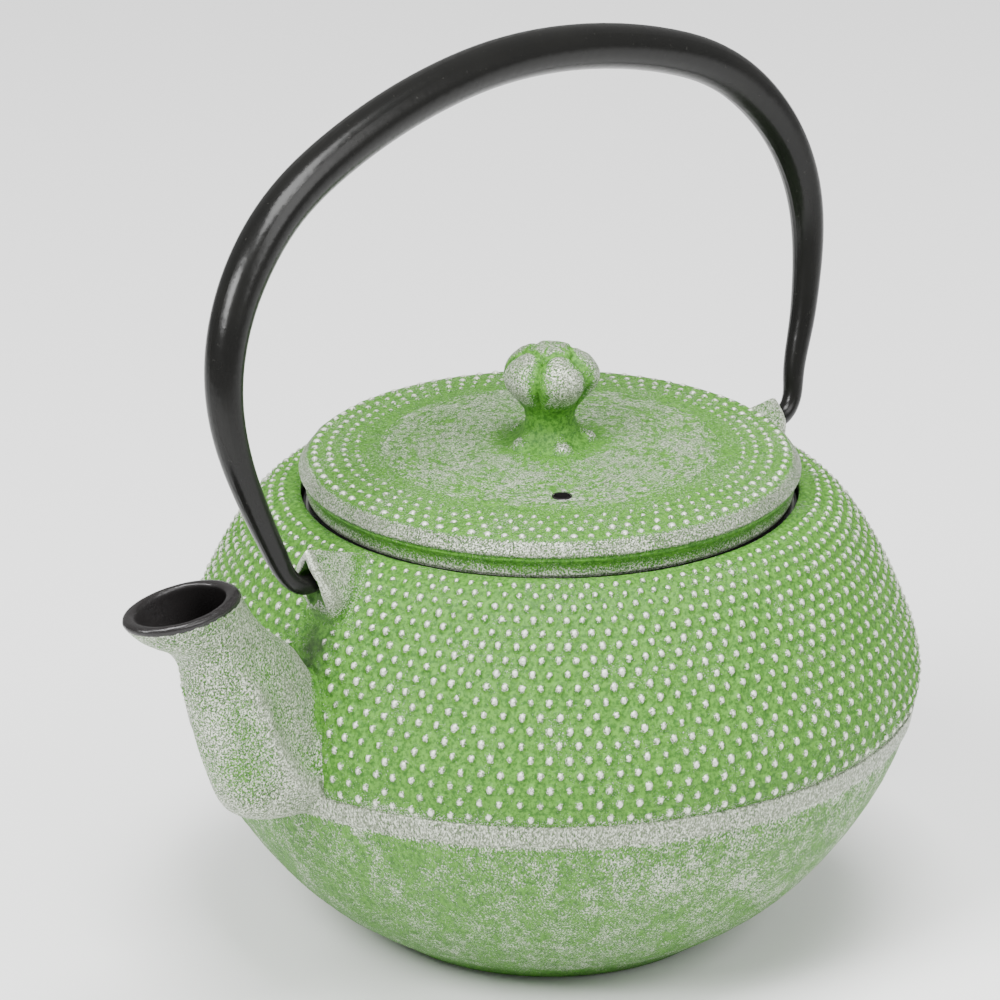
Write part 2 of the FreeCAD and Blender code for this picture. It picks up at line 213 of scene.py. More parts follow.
def rounded(points, radius, steps=5):
    """A polyline whose inner corners are rounded by quadratic curves."""
    points = np.asarray(points, float)
    out = [points[0]]
    for before, corner, after in zip(points, points[1:], points[2:]):
        to_before, to_after = before - corner, after - corner
        near = min(radius, np.linalg.norm(to_before) / 2, np.linalg.norm(to_after) / 2)
        start = corner + to_before / np.linalg.norm(to_before) * near
        end = corner + to_after / np.linalg.norm(to_after) * near
        for t in np.linspace(0, 1, steps):
            out.append(start * (1 - t) ** 2 + corner * 2 * t * (1 - t) + end * t * t)
    out.append(points[-1])
    return np.array(out)


def outline_normals(outline):
    """Unit normals on the right of an outline that runs upwards, as (r, z)."""
    along = np.gradient(outline, axis=0)
    normals = np.stack([along[:, 1], -along[:, 0]], axis=1)
    return normals / np.linalg.norm(normals, axis=1)[:, None]


# ---- meshes ----
def turn_angles(columns):
    """Evenly spaced angles of a full turn."""
    return np.arange(columns) * 2 * math.pi / columns


def turned(outline, columns):
    """Grid, (rows, columns, 3), of an outline turned about Z; or of its normals."""
    angle = turn_angles(columns)
    radius = outline[:, :1]
    height = np.repeat(outline[:, 1:], columns, axis=1)
    return np.stack([radius * np.cos(angle), radius * np.sin(angle), height], axis=2)


def grid_faces(rows, columns):
    """Quads of a grid; outward when its rows run upwards and its columns anticlockwise."""
    row = np.arange(rows - 1)[:, None] * columns
    here = np.arange(columns)[None, :]
    there = (here + 1) % columns
    quads = np.stack([row + here, row + there, row + columns + there, row + columns + here], axis=2)
    return quads.reshape(-1, 4)


def grid_normals(grid):
    """Vertex normals of a grid that is closed along its columns."""
    along = np.gradient(grid, axis=0)
    across = np.roll(grid, -1, axis=1) - np.roll(grid, 1, axis=1)
    normals = np.cross(across, along)
    return normals / np.maximum(np.linalg.norm(normals, axis=2), 1e-12)[..., None]


def kept(points, faces, *values):
    """Only the points that faces use, the faces renumbered, and the values at those points."""
    used = np.unique(faces)
    number = np.full(len(points), -1)
    number[used] = np.arange(len(used))
    return (points[used], number[faces]) + tuple(value[used] for value in values)


def add_piece(name, points, faces, material, body, nodes, slot, normals=None, **values):
    """A mesh in the frame, riding on a body; values become point attributes."""
    mesh = bpy.data.meshes.new(name)
    mesh.from_pydata((np.asarray(points) * MM).tolist(), [], np.asarray(faces).tolist())
    mesh.shade_smooth()
    for key, value in values.items():
        value = np.asarray(value, np.float32)
        kind, field = ("FLOAT_VECTOR", "vector") if value.ndim == 2 else ("FLOAT", "value")
        mesh.attributes.new(key, kind, "POINT").data.foreach_set(field, value.ravel())
    if normals is not None:
        mesh.normals_split_custom_set_from_vertices(np.asarray(normals).tolist())
    mesh.materials.append(material)
    piece = bpy.data.objects.new(name, mesh)
    bpy.context.scene.collection.objects.link(piece)
    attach(piece, body)
    if nodes:
        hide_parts(*nodes)
    return piece


def iron_piece(name, points, faces, body, nodes, **values):
    """A cast iron piece in its green patina."""
    return add_piece(name, points, faces, PATINA, body, nodes, "green_iron", **values)


def iron_grid(name, grid, body, nodes, **values):
    """A whole turned grid as a cast iron piece; values are grids too."""
    rows, columns, _ = grid.shape
    flat = {key: value.reshape(rows * columns, *value.shape[2:]) for key, value in values.items()}
    return iron_piece(name, grid.reshape(-1, 3), grid_faces(rows, columns), body, nodes,
                      normals=grid_normals(grid).reshape(-1, 3), **flat)


VOLUME_BAND = 8             # how many voxels to each side of a skin hold its distance


class Volume:
    """A solid as distances from its skin, in millimetres and negative inside, over a box of voxels."""

    def __init__(self, low, high, voxel):
        self.voxel = voxel
        self.first = np.floor(np.array(low) / voxel).astype(int)
        self.shape = np.ceil(np.array(high) / voxel).astype(int) - self.first + 1
        self.values = np.full(self.shape, VOLUME_BAND * voxel, np.float32)

    def distances(self, solid):
        points, faces = solid
        mesh = bpy.data.meshes.new("scratch")
        mesh.from_pydata(np.asarray(points).tolist(), [], [list(face) for face in faces])
        mesh.calc_loop_triangles()
        corners = np.zeros(len(mesh.loop_triangles) * 3, np.int32)
        mesh.loop_triangles.foreach_get("vertices", corners)
        bpy.data.meshes.remove(mesh)
        grid = openvdb.FloatGrid.createLevelSetFromPolygons(
            np.asarray(points, np.float32), triangles=corners.reshape(-1, 3).astype(np.uint32),
            transform=openvdb.createLinearTransform(self.voxel), halfWidth=VOLUME_BAND)
        values = np.zeros(self.shape, np.float32)
        grid.copyToArray(values, ijk=tuple(int(k) for k in self.first))
        return values

    def add(self, solid, fillet=0.0):
        self.values = soft_min(self.values, self.distances(solid), fillet)

    def cut(self, solid, fillet=0.0):
        self.values = -soft_min(-self.values, self.distances(solid), fillet)

    def skin(self, rounds):
        """The solid's skin as points and quads, smoothed a few times."""
        grid = openvdb.FloatGrid(VOLUME_BAND * self.voxel)
        grid.copyFromArray(self.values, ijk=tuple(int(k) for k in self.first))
        grid.transform = openvdb.createLinearTransform(self.voxel)
        points, faces = grid.convertToQuads()
        points, faces = points.astype(float), faces.astype(int)
        first = points[faces[:, 0]]
        across = np.cross(points[faces[:, 1]] - first, points[faces[:, 2]] - first)
        if (across * first).sum() < 0:
            faces = faces[:, ::-1]
        for _ in range(rounds):
            points = 0.5 * points + 0.5 * neighbour_mean(points, faces)
        return points, faces


def soft_min(a, b, fillet):
    """The lesser of two distances, rounded where they are nearly equal."""
    if fillet == 0:
        return np.minimum(a, b)
    share = np.clip(0.5 + 0.5 * (b - a) / fillet, 0, 1)
    return b * (1 - share) + a * share - fillet * share * (1 - share)


def closed_loft(rings):
    """Closed solid of rings, (rows, columns, 3), with flat ends; rings run anticlockwise upwards."""
    rows, columns, _ = rings.shape
    faces = grid_faces(rows, columns).tolist()
    faces.append(list(range(columns))[::-1])
    faces.append([(rows - 1) * columns + k for k in range(columns)])
    return rings.reshape(-1, 3), faces


def neighbour_mean(values, faces):
    """Mean of each vertex's neighbours along the quads' edges."""
    count = len(values)
    total = np.zeros(values.shape)
    degree = np.zeros(count)
    for a, b in ((0, 1), (1, 2), (2, 3), (3, 0)):
        for start, end in ((faces[:, a], faces[:, b]), (faces[:, b], faces[:, a])):
            degree += np.bincount(start, minlength=count)
            for axis in range(values.shape[1]):
                total[:, axis] += np.bincount(start, values[end, axis], minlength=count)
    return total / np.maximum(degree, 1)[:, None]


def face_normals(points, faces):
    """Vertex normals of a quad mesh."""
    across = np.cross(points[faces[:, 2]] - points[faces[:, 0]], points[faces[:, 3]] - points[faces[:, 1]])
    normals = np.zeros_like(points)
    for corner in range(4):
        for axis in range(3):
            normals[:, axis] += np.bincount(faces[:, corner], across[:, axis], minlength=len(points))
    return normals / np.maximum(np.linalg.norm(normals, axis=1), 1e-12)[:, None]


def relief(points, faces, rounds):
    """How far each vertex stands out of its smoothed surroundings, in millimetres."""
    soft = points
    for _ in range(rounds):
        soft = 0.5 * soft + 0.5 * neighbour_mean(soft, faces)
    return ((points - soft) * face_normals(points, faces)).sum(axis=1)


def tree_of(points, faces):
    """Search tree of a skin."""
    return BVHTree.FromPolygons(points.tolist(), [list(face) for face in faces])


def signed_gap(tree, points):
    """Distance from points to a closed skin, negative inside."""
    out = np.zeros(len(points))
    for index, point in enumerate(points):
        near, normal, _, distance = tree.find_nearest(Vector(point))
        out[index] = math.copysign(distance, (Vector(point) - near).dot(normal))
    return out


# ---- the pot's outline, read from the frame ----
def node_outline(node):
    """(r, z) of a node's vertices on its plain +Y side."""
    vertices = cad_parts[node].data.vertices
    points = np.zeros(len(vertices) * 3)
    vertices.foreach_get("co", points)
    points = points.reshape(-1, 3) / MM
    aside = np.abs(points[:, 0]) < points[:, 1] * 0.9
    return np.stack([np.hypot(points[aside, 0], points[aside, 1]), points[aside, 2]], axis=1)


def outer_wall(low_z, high_z, step):
    """The pot's outside between two heights: the outermost vertex of each short span, upwards."""
    points = node_outline("pot_body")
    points = points[(points[:, 1] > low_z - 0.01) & (points[:, 1] < high_z + 0.01)]
    spans = np.round((points[:, 1] - low_z) / step).astype(int)
    picked = []
    for span in np.unique(spans):
        group = points[spans == span]
        picked.append(group[group[:, 0].argmax()])
    return np.array(picked)


UPPER_OUTLINE = spline(np.concatenate([[(73.2, BAND_HIGH_Z)], outer_wall(BAND_HIGH_Z + 2.6, 88.9, 2.6),
                                       [(53.9, 91.0), (MOUTH_R, 91.8)]]), 600)
LOWER_OUTLINE = spline(np.concatenate([[(34.1, 0.0)], outer_wall(2.0, BAND_LOW_Z - 1.2, 3.6),
                                       [(72.4, BAND_LOW_Z)]]), 400)
BAND_OUTLINE = np.array([(72.4, BAND_LOW_Z), (72.9, BAND_LOW_Z + 0.1), (73.7, BAND_HIGH_Z - 0.1),
                         (73.2, BAND_HIGH_Z)])
WHOLE_OUTLINE = np.concatenate([LOWER_OUTLINE, even(BAND_OUTLINE[1:3], 40),
                                UPPER_OUTLINE])
WHOLE_NORMALS = outline_normals(WHOLE_OUTLINE)


def nearest_wall(points):
    """For each point, the index of the nearest point of the pot's outline."""
    flat = np.stack([np.hypot(points[:, 0], points[:, 1]), points[:, 2]], axis=1)
    nearest = np.zeros(len(flat), int)
    for start in range(0, len(flat), 4000):
        away = flat[start:start + 4000, None, :] - WHOLE_OUTLINE[None, :, :]
        nearest[start:start + 4000] = (away ** 2).sum(axis=2).argmin(axis=1)
    return flat, nearest


def wall_gap(points):
    """Distance of points from the pot's smooth outside, negative inside."""
    flat, nearest = nearest_wall(points)
    return ((flat - WHOLE_OUTLINE[nearest]) * WHOLE_NORMALS[nearest]).sum(axis=1)


def wall_normals(points):
    """The smooth wall's normals beside points."""
    flat, nearest = nearest_wall(points)
    normals = WHOLE_NORMALS[nearest]
    around = points[:, :2] / flat[:, :1]
    return np.concatenate([around * normals[:, :1], normals[:, 1:]], axis=1)


# ---- materials ----
def new_material(name):
    """An empty material, its node tree and its shader."""
    material = bpy.data.materials.new(name)
    material.use_nodes = True
    tree = material.node_tree
    shader = tree.nodes["Principled BSDF"]
    return material, tree, shader


def node(tree, kind, **inputs):
    """A shader node; inputs are values or the sockets that feed them."""
    made = tree.nodes.new(kind)
    for key, value in inputs.items():
        socket = made.inputs[int(key[1:])] if key[0] == "i" and key[1:].isdigit() else made.inputs[key]
        if isinstance(value, bpy.types.NodeSocket):
            tree.links.new(value, socket)
        else:
            socket.default_value = value
    return made


def math_node(tree, operation, a, b, clamp=False):
    """The output of a sum, a product or the like."""
    made = node(tree, "ShaderNodeMath", i0=a, i1=b)
    made.operation = operation
    made.use_clamp = clamp
    return made.outputs[0]


def map_range(tree, value, low, high, to_low=0.0, to_high=1.0):
    """A value eased from one range to another."""
    made = node(tree, "ShaderNodeMapRange", i0=value, i1=low, i2=high, i3=to_low, i4=to_high)
    made.interpolation_type = "SMOOTHSTEP"
    return made.outputs[0]


def mix_colour(tree, factor, a, b):
    made = tree.nodes.new("ShaderNodeMix")
    made.data_type = "RGBA"
    for socket, value in ((made.inputs[0], factor), (made.inputs[6], a), (made.inputs[7], b)):
        if isinstance(value, bpy.types.NodeSocket):
            tree.links.new(value, socket)
        else:
            socket.default_value = value
    return made.outputs[2]


def mix_value(tree, factor, a, b):
    return node(tree, "ShaderNodeMapRange", i0=factor, i1=0.0, i2=1.0, i3=a, i4=b).outputs[0]


def noise(tree, place, scale, detail, roughness):
    made = node(tree, "ShaderNodeTexNoise", Vector=place, Scale=scale, Detail=detail,
                Roughness=roughness)
    return made.outputs["Fac"]


def attribute(tree, name, output):
    """A point attribute's socket."""
    made = tree.nodes.new("ShaderNodeAttribute")
    made.attribute_name = name
    return made.outputs[output]


def scaled(tree, place, factors):
    """A place multiplied axis by axis."""
    made = node(tree, "ShaderNodeVectorMath", i0=place, i1=factors)
    made.operation = "MULTIPLY"
    return made.outputs[0]


def dress(tree, shader, colour, roughness, bump_depth, bump_strength, height):
    """Feeds a shader's colour and roughness, and bumps it by height, with the depth in millimetres."""
    tree.links.new(colour, shader.inputs["Base Color"])
    tree.links.new(roughness, shader.inputs["Roughness"])
    bump = node(tree, "ShaderNodeBump", Distance=bump_depth * MM, Strength=bump_strength,
                Height=height)
    tree.links.new(bump.outputs[0], shader.inputs["Normal"])


GREEN_DEEP = (0.022, 0.100, 0.005, 1)
GREEN_LIGHT = (0.080, 0.242, 0.022, 1)
SILVER_DARK = (0.16, 0.19, 0.13, 1)
SILVER_LIGHT = (0.66, 0.70, 0.60, 1)
ENAMEL = (0.012, 0.011, 0.011, 1)
# dark green that the darkening attribute mixes in: painted shade in recesses and under the ears' hooks,
# and tarnish on the band and the lid's bevel
SHADE_AND_TARNISH_COLOUR = (0.012, 0.022, 0.008, 1)
PAINT_DARK = (0.004, 0.004, 0.004, 1)
PAINT_LIGHT = (0.008, 0.008, 0.007, 1)
DUST = (0.05, 0.05, 0.045, 1)
INSIDE_DARK = (0.010, 0.010, 0.010, 1)
INSIDE_LIGHT = (0.022, 0.020, 0.019, 1)
STEEL_DARK = (0.55, 0.55, 0.54, 1)
STEEL_LIGHT = (0.74, 0.74, 0.72, 1)
FLOOR_GREY = (0.86, 0.86, 0.86, 1)


def patina_material():
    """Green paint on cast iron, rubbed with silver where it stands out, and black enamel.

    wear is the share of silver, grain is the place in millimetres that the flecks follow,
    enamel is 1 where the black enamel covers it, and the darkening attribute darkens all: painted
    shade in recesses and under the ears' hooks, and tarnish on the band and the lid's bevel.
    A piece without one of them has 0 for it."""
    material, tree, shader = new_material("green_iron")
    grain = attribute(tree, "grain", "Vector")
    wear = attribute(tree, "wear", "Fac")
    enamel = attribute(tree, "enamel", "Fac")
    grime = attribute(tree, "grime", "Fac")
    flecks = noise(tree, grain, 3.0, 4.0, 0.72)
    patches = noise(tree, grain, 0.16, 2.0, 0.5)
    spread = math_node(tree, "MULTIPLY", math_node(tree, "SUBTRACT", flecks, 0.5), 2.3)
    drift = math_node(tree, "MULTIPLY", math_node(tree, "SUBTRACT", patches, 0.5), 0.38)
    level = math_node(tree, "ADD", math_node(tree, "ADD", wear, spread), drift)
    silver = map_range(tree, level, 0.35, 0.70)

    tone = noise(tree, grain, 1.3, 5.0, 0.72)
    green = mix_colour(tree, map_range(tree, tone, 0.38, 0.62), GREEN_DEEP, GREEN_LIGHT)
    proud = math_node(tree, "MULTIPLY", math_node(tree, "SUBTRACT", wear, 0.85, True), 0.5)
    dull = map_range(tree, wear, 0.42, 0.60, 0.0, -0.075)
    shine = math_node(tree, "ADD", math_node(tree, "ADD", flecks, proud), dull)
    metal = mix_colour(tree, map_range(tree, shine, 0.38, 0.56), SILVER_DARK, SILVER_LIGHT)
    # mixes towards dark green: painted shade in recesses and under the hooks, tarnish on the band and the
    # bevel
    painted = mix_colour(tree, grime, mix_colour(tree, silver, green, metal), SHADE_AND_TARNISH_COLOUR)
    edge = math_node(tree, "ADD", enamel, math_node(tree, "MULTIPLY", spread, 0.12))
    covered = map_range(tree, edge, 0.44, 0.56)
    bare = math_node(tree, "MULTIPLY", silver, math_node(tree, "SUBTRACT", 1.0, covered))
    tree.links.new(math_node(tree, "MULTIPLY", bare, 0.45), shader.inputs["Metallic"])
    rough = mix_value(tree, silver, 0.62, 0.44)
    fine = noise(tree, grain, 3.0, 2.0, 0.6)
    height = math_node(tree, "ADD", math_node(tree, "MULTIPLY", fine, 0.6), silver)
    calm = math_node(tree, "SUBTRACT", 1.0, math_node(tree, "MULTIPLY", covered, 0.85))
    shader.inputs["Specular IOR Level"].default_value = 0.32
    dress(tree, shader, mix_colour(tree, covered, painted, ENAMEL), mix_value(tree, covered, rough, 0.2),
          0.11, 0.95, math_node(tree, "MULTIPLY", height, calm))
    return material


def object_place(tree):
    """Object coordinates in millimetres."""
    place = tree.nodes.new("ShaderNodeTexCoord").outputs["Object"]
    return scaled(tree, place, (1 / MM,) * 3)


def paint_material():
    """Satin black paint with faint dust and orange peel."""
    material, tree, shader = new_material("black_paint")
    place = object_place(tree)
    cloud = noise(tree, place, 0.06, 3.0, 0.55)
    dust = map_range(tree, noise(tree, place, 1.4, 2.0, 0.5), 0.70, 0.76)
    base = mix_colour(tree, cloud, PAINT_DARK, PAINT_LIGHT)
    colour = mix_colour(tree, math_node(tree, "MULTIPLY", dust, 0.35), base, DUST)
    shader.inputs["Specular IOR Level"].default_value = 0.2
    dress(tree, shader, colour, mix_value(tree, cloud, 0.18, 0.30), 0.04, 0.35,
          noise(tree, place, 0.9, 2.0, 0.5))
    return material


def enamel_material():
    """Black gloss enamel inside the pot."""
    material, tree, shader = new_material("black_enamel")
    place = object_place(tree)
    cloud = noise(tree, place, 0.12, 3.0, 0.55)
    dress(tree, shader, mix_colour(tree, cloud, INSIDE_DARK, INSIDE_LIGHT),
          mix_value(tree, cloud, 0.14, 0.28), 0.12, 0.5, noise(tree, place, 0.35, 3.0, 0.5))
    return material


def steel_material():
    """Stainless steel with fine drawing lines round the axis."""
    material, tree, shader = new_material("stainless")
    lines = noise(tree, scaled(tree, object_place(tree), (0.05, 0.05, 6.0)), 1.0, 3.0, 0.6)
    shader.inputs["Metallic"].default_value = 1.0
    dress(tree, shader, mix_colour(tree, lines, STEEL_DARK, STEEL_LIGHT),
          mix_value(tree, lines, 0.22, 0.40), 0.01, 0.5, lines)
    return material


PATINA = patina_material()
PAINT = paint_material()
BLACK_ENAMEL = enamel_material()
STEEL = steel_material()


# ---- pot: spout and ears ----
def spout_rings(chord_wall, side_wall, lift, drop_last=0):
    """Rings of the spout, from its root up to its mouth, with a wall taken off."""
    sections = []
    for front, throat, half, power, pinch in SPOUT_SECTIONS:
        front, throat = np.array(front), np.array(throat)
        step = (throat - front) / np.linalg.norm(throat - front) * chord_wall
        sections.append(np.concatenate([front + step, throat - step, [half - side_wall, power, pinch]]))
    if drop_last:
        sections = sections[:-drop_last]
    sections = spline(sections[::-1], 120)
    if lift:
        top = sections[-1].copy()
        top[[1, 3]] += lift
        sections = np.concatenate([sections, [top]])
    angle = turn_angles(SPOUT_COLUMNS)
    rings = []
    for front_x, front_z, throat_x, throat_z, half, power, pinch in sections:
        cosine, sine = np.cos(angle), np.sin(angle)
        chord = np.sign(cosine) * np.abs(cosine) ** (2 / power)
        side = np.sign(sine) * np.abs(sine) ** (2 / power) * (1 - pinch * smoothstep(-0.2, 1.0, chord))
        middle_x, middle_z = (front_x + throat_x) / 2, (front_z + throat_z) / 2
        rings.append(np.stack([middle_x + chord * (throat_x - front_x) / 2, half * side,
                               middle_z + chord * (throat_z - front_z) / 2], axis=1))
    return np.array(rings)


def rounded_mouth(rings, depth, inset):
    """Rolls the last rings inwards, so that the solid's top edge is round."""
    rise = arc_length(rings.mean(axis=1))
    left = np.clip((rise[-1] - rise) / depth, 0, 1)
    shrink = inset * (1 - np.sqrt(np.clip(1 - (1 - left) ** 2, 0, 1)))
    centre = rings.mean(axis=1, keepdims=True)
    out = rings - centre
    size = np.linalg.norm(out, axis=2, keepdims=True)
    return centre + out * (1 - shrink[:, None, None] / size)


def slab(low_z, high_z, middle_angle, half_angle):
    """A closed piece of the pot's wall, just under its outside."""
    inside = (WHOLE_OUTLINE[:, 1] >= low_z) & (WHOLE_OUTLINE[:, 1] <= high_z)
    outline = WHOLE_OUTLINE[inside] - WHOLE_NORMALS[inside] * SLAB_DROP
    inner = outline - WHOLE_NORMALS[inside] * SLAB_DEPTH
    loop = np.concatenate([outline, inner[::-1]])
    angles = np.radians(np.linspace(middle_angle - half_angle, middle_angle + half_angle, 90))
    rings = np.array([np.stack([loop[:, 0] * math.cos(a), loop[:, 0] * math.sin(a), loop[:, 1]], axis=1)
                      for a in angles])
    return closed_loft(rings[::-1])


def cylinder(start, end, start_r, end_r):
    """Closed round bar between two points, with a radius at each."""
    start, end = np.array(start, float), np.array(end, float)
    axis = (end - start) / np.linalg.norm(end - start)
    side = np.cross(axis, (0, 1, 0) if abs(axis[1]) < 0.9 else (1, 0, 0))
    side /= np.linalg.norm(side)
    other = np.cross(axis, side)
    angle = turn_angles(BAR_COLUMNS)
    circle = np.cos(angle)[:, None] * side + np.sin(angle)[:, None] * other
    return closed_loft(np.array([start + circle * start_r, end + circle * end_r]))


def trimmed(points, faces, keep):
    """Only the kept points and their faces, with the cut edge tucked just under the pot's wall."""
    faces = faces[keep[faces].all(axis=1)]
    edges = np.sort(np.concatenate([faces[:, [0, 1]], faces[:, [1, 2]], faces[:, [2, 3]],
                                    faces[:, [3, 0]]]), axis=1)
    unique, count = np.unique(edges, axis=0, return_counts=True)
    border = np.unique(unique[count == 1])
    gap = wall_gap(points[border])
    near = np.abs(gap) < 1.5
    border, gap = border[near], gap[near]
    points = points.copy()
    points[border] -= wall_normals(points[border]) * (gap[:, None] + TUCK)
    return kept(points, faces)


SPOUT_OUTSIDE = closed_loft(rounded_mouth(spout_rings(0, 0, 0), 1.6, SPOUT_LIP_ROUND))
SPOUT_BORE = closed_loft(spout_rings(SPOUT_WALL_CHORD, SPOUT_WALL_SIDE, BORE_OVERSHOOT, drop_last=1))
BORE_TREE = tree_of(*SPOUT_BORE)


def make_spout():
    """The spout's skin, inside and out, and how far each of its points stands proud."""
    start = (PASSAGE_START[0], 0, PASSAGE_START[1])
    end = (PASSAGE_END[0] + 5, 0, PASSAGE_END[1] - 2)
    wall = slab(22, 90, 180, 24)
    volume = Volume((-120, -34, 20), (-40, 34, 102), SPOUT_VOXEL)
    volume.add(SPOUT_OUTSIDE)
    volume.add(wall, SPOUT_FILLET)
    volume.cut(SPOUT_BORE, 0.8)
    volume.cut(cylinder(start, end, PASSAGE_R, PASSAGE_R))
    points, faces = volume.skin(3)
    gap = wall_gap(points)
    angle = np.abs(np.degrees(np.arctan2(points[:, 1], -points[:, 0])))
    inner_bore = (gap > -3.6) & (np.abs(points[:, 1]) < 6.4) & near_bore(points)
    keep = ((gap > SKIN_START) & (angle < 22)) | inner_bore
    points, faces = trimmed(points, faces, keep)
    points = points + face_normals(points, faces) * ridge_height(points)[:, None]
    return points, faces, relief(points, faces, 40)


def ridge_height(points):
    """How far the flank ridges and their hollows move the spout's skin."""
    ridge = spline(SPOUT_RIDGE, 120)
    mirrored = points * (1, 0, 1) + np.abs(points) * (0, 1, 0)
    distance = np.full(len(points), 50.0)
    share = np.zeros(len(points))
    for index, spot in enumerate(ridge):
        away = np.linalg.norm(mirrored - spot, axis=1)
        closer = away < distance
        distance[closer] = away[closer]
        share[closer] = index / (len(ridge) - 1)
    height = RIDGE_HEIGHT * np.exp(-(distance / RIDGE_HALF) ** 2)
    height -= HOLLOW_DEPTH * np.exp(-((distance - HOLLOW_AWAY) / 2.4) ** 2)
    fade = smoothstep(0.0, 0.3, share) * smoothstep(0.1, 1.6, wall_gap(points) + 0.4 * share)
    return height * fade * (np.abs(points[:, 1]) > 3.0) * ~near_bore(points)


def from_passage(points):
    """How far points lie along the passage from its start, and their offsets from its axis."""
    start = np.array((PASSAGE_START[0], 0, PASSAGE_START[1]))
    axis = np.array((PASSAGE_END[0], 0, PASSAGE_END[1])) - start
    axis = axis / np.linalg.norm(axis)
    along = (points - start) @ axis
    return along, points - start - along[:, None] * axis


def near_bore(points, margin=BORE_MARGIN):
    """True for points in the spout's bore or its passage, or up to a margin outside them."""
    along, sideways = from_passage(points)
    in_passage = (np.linalg.norm(sideways, axis=1) < PASSAGE_R + margin) & (along > -2)
    gap = signed_gap(BORE_TREE, points)
    in_bore = (gap < margin) & (gap > -BORE_DEEPEST) & (np.abs(points[:, 1]) < BORE_HALF_WIDTH)
    return in_passage | in_bore


def arch_points(foot_z, foot_half, hip_z, hip_half, peak_z, columns):
    """Pointed arch as (y, z): from the left foot over the peak to the right foot."""
    right = spline([(foot_half, foot_z), (hip_half, hip_z), (0, peak_z)], columns // 2)
    left = right[::-1][1:] * (-1, 1)
    return np.concatenate([right, left])


def ear_loft(rings, sign):
    """Closed solid of rings in order of growing |x|, on the side that sign says."""
    rings = np.array(rings)
    return closed_loft(rings if sign > 0 else rings[:, ::-1])


def ear_solid(shape):
    """Hood that grows out of the shoulder, with a rounded rim."""
    sign = shape["sign"]
    length = shape["rim_x"] - shape["back_x"]
    rings = []
    for share, inset in ((0, 0.0), (0.5, 0.0), (0.93, 0.0), (0.97, 0.2), (0.99, 0.5), (1.0, 0.8)):
        drop = shape["back_drop"] * (1 - share)
        scale = 0.98 + 0.02 * share
        arch = arch_points(shape["foot_z"] - drop, shape["foot_half"] * scale, shape["hinge_z"] - drop,
                           shape["hip_half"] * scale, shape["peak_z"] - drop, 60)
        middle = np.array((0, shape["hinge_z"] - drop - 3))
        out = arch - middle
        arch = middle + out * (1 - inset / np.linalg.norm(out, axis=1)[:, None])
        x = np.full(len(arch), sign * (shape["back_x"] + share * length))
        rings.append(np.column_stack([x, arch]))
    return ear_loft(rings, sign)


def ear_cutters(shape):
    """The round pocket for the hook, and the leaf-shaped opening above and below it."""
    sign = shape["sign"]
    mouth_x = sign * (shape["rim_x"] + 4)
    low = cylinder((sign * shape["floor_x"], 0, shape["hinge_z"]), (mouth_x, 0, shape["hinge_z"]),
                   HOOK_POCKET_R, HOOK_POCKET_R + 0.2)
    roof_fall = shape["back_drop"] / (shape["rim_x"] - shape["back_x"])
    rings = []
    for x, narrower in ((shape["arch_floor_x"], 0.5), (abs(mouth_x), 0.0)):
        peak_z = shape["arch_z"] - (shape["rim_x"] - x) * roof_fall * 1.2
        arch = arch_points(shape["foot_z"] + 2.6, 0.5, shape["hinge_z"] - 0.4 * narrower,
                           HOOK_POCKET_R - narrower, peak_z, 40)
        rings.append(np.column_stack([np.full(len(arch), sign * x), arch]))
    return [low, ear_loft(rings, sign)]


def under_chin(shape):
    """The space under a hood, whose underside falls back to the wall."""
    low_z, half_width = 60.0, 10.0
    front_x = shape["rim_x"] + 1
    front_z = shape["chin_z"] + CHIN_SLOPE
    back_x = front_x - CHIN_RUN
    loop = np.array([(front_x, front_z), (front_x, low_z), (back_x, low_z),
                     (back_x, front_z - CHIN_RUN * CHIN_SLOPE)])
    rings = [np.column_stack([shape["sign"] * loop[:, 0], np.full(4, y), loop[:, 1]])
             for y in (-half_width * shape["sign"], half_width * shape["sign"])]
    return closed_loft(np.array(rings))


def make_ear(shape):
    """An ear's skin, and how far each of its points stands proud."""
    middle = 180 if shape["sign"] < 0 else 0
    far, near = shape["sign"] * 74, shape["sign"] * 48
    volume = Volume((min(far, near), -24, 62), (max(far, near), 24, 101), EAR_VOXEL)
    volume.add(ear_solid(shape))
    volume.cut(under_chin(shape), 1.6)
    volume.add(slab(66, 91.2, middle, 16), EAR_FILLET)
    for cutter in ear_cutters(shape):
        volume.cut(cutter, 0.4)
    points, faces = volume.skin(4)
    gap = wall_gap(points)
    angle = np.degrees(np.arctan2(points[:, 1], shape["sign"] * points[:, 0]))
    pocket = (np.abs(points[:, 1]) < HOOK_POCKET_R + 0.4) & (gap > -9)
    pocket &= points[:, 2] < shape["hinge_z"] + HOOK_POCKET_R + 0.3
    pocket &= points[:, 2] > shape["hinge_z"] - HOOK_POCKET_R - 0.3
    pocket &= np.abs(points[:, 0]) > shape["floor_x"] - 0.6
    keep = ((gap > SKIN_START) & (np.abs(angle) < 14.5)) | pocket
    points, faces = trimmed(points, faces, keep)
    return points, faces, relief(points, faces, 30)


spout_points, spout_faces, spout_stand = make_spout()
front_ear_points, front_ear_faces, front_ear_stand = make_ear(FRONT_EAR)
rear_ear_points, rear_ear_faces, rear_ear_stand = make_ear(REAR_EAR)


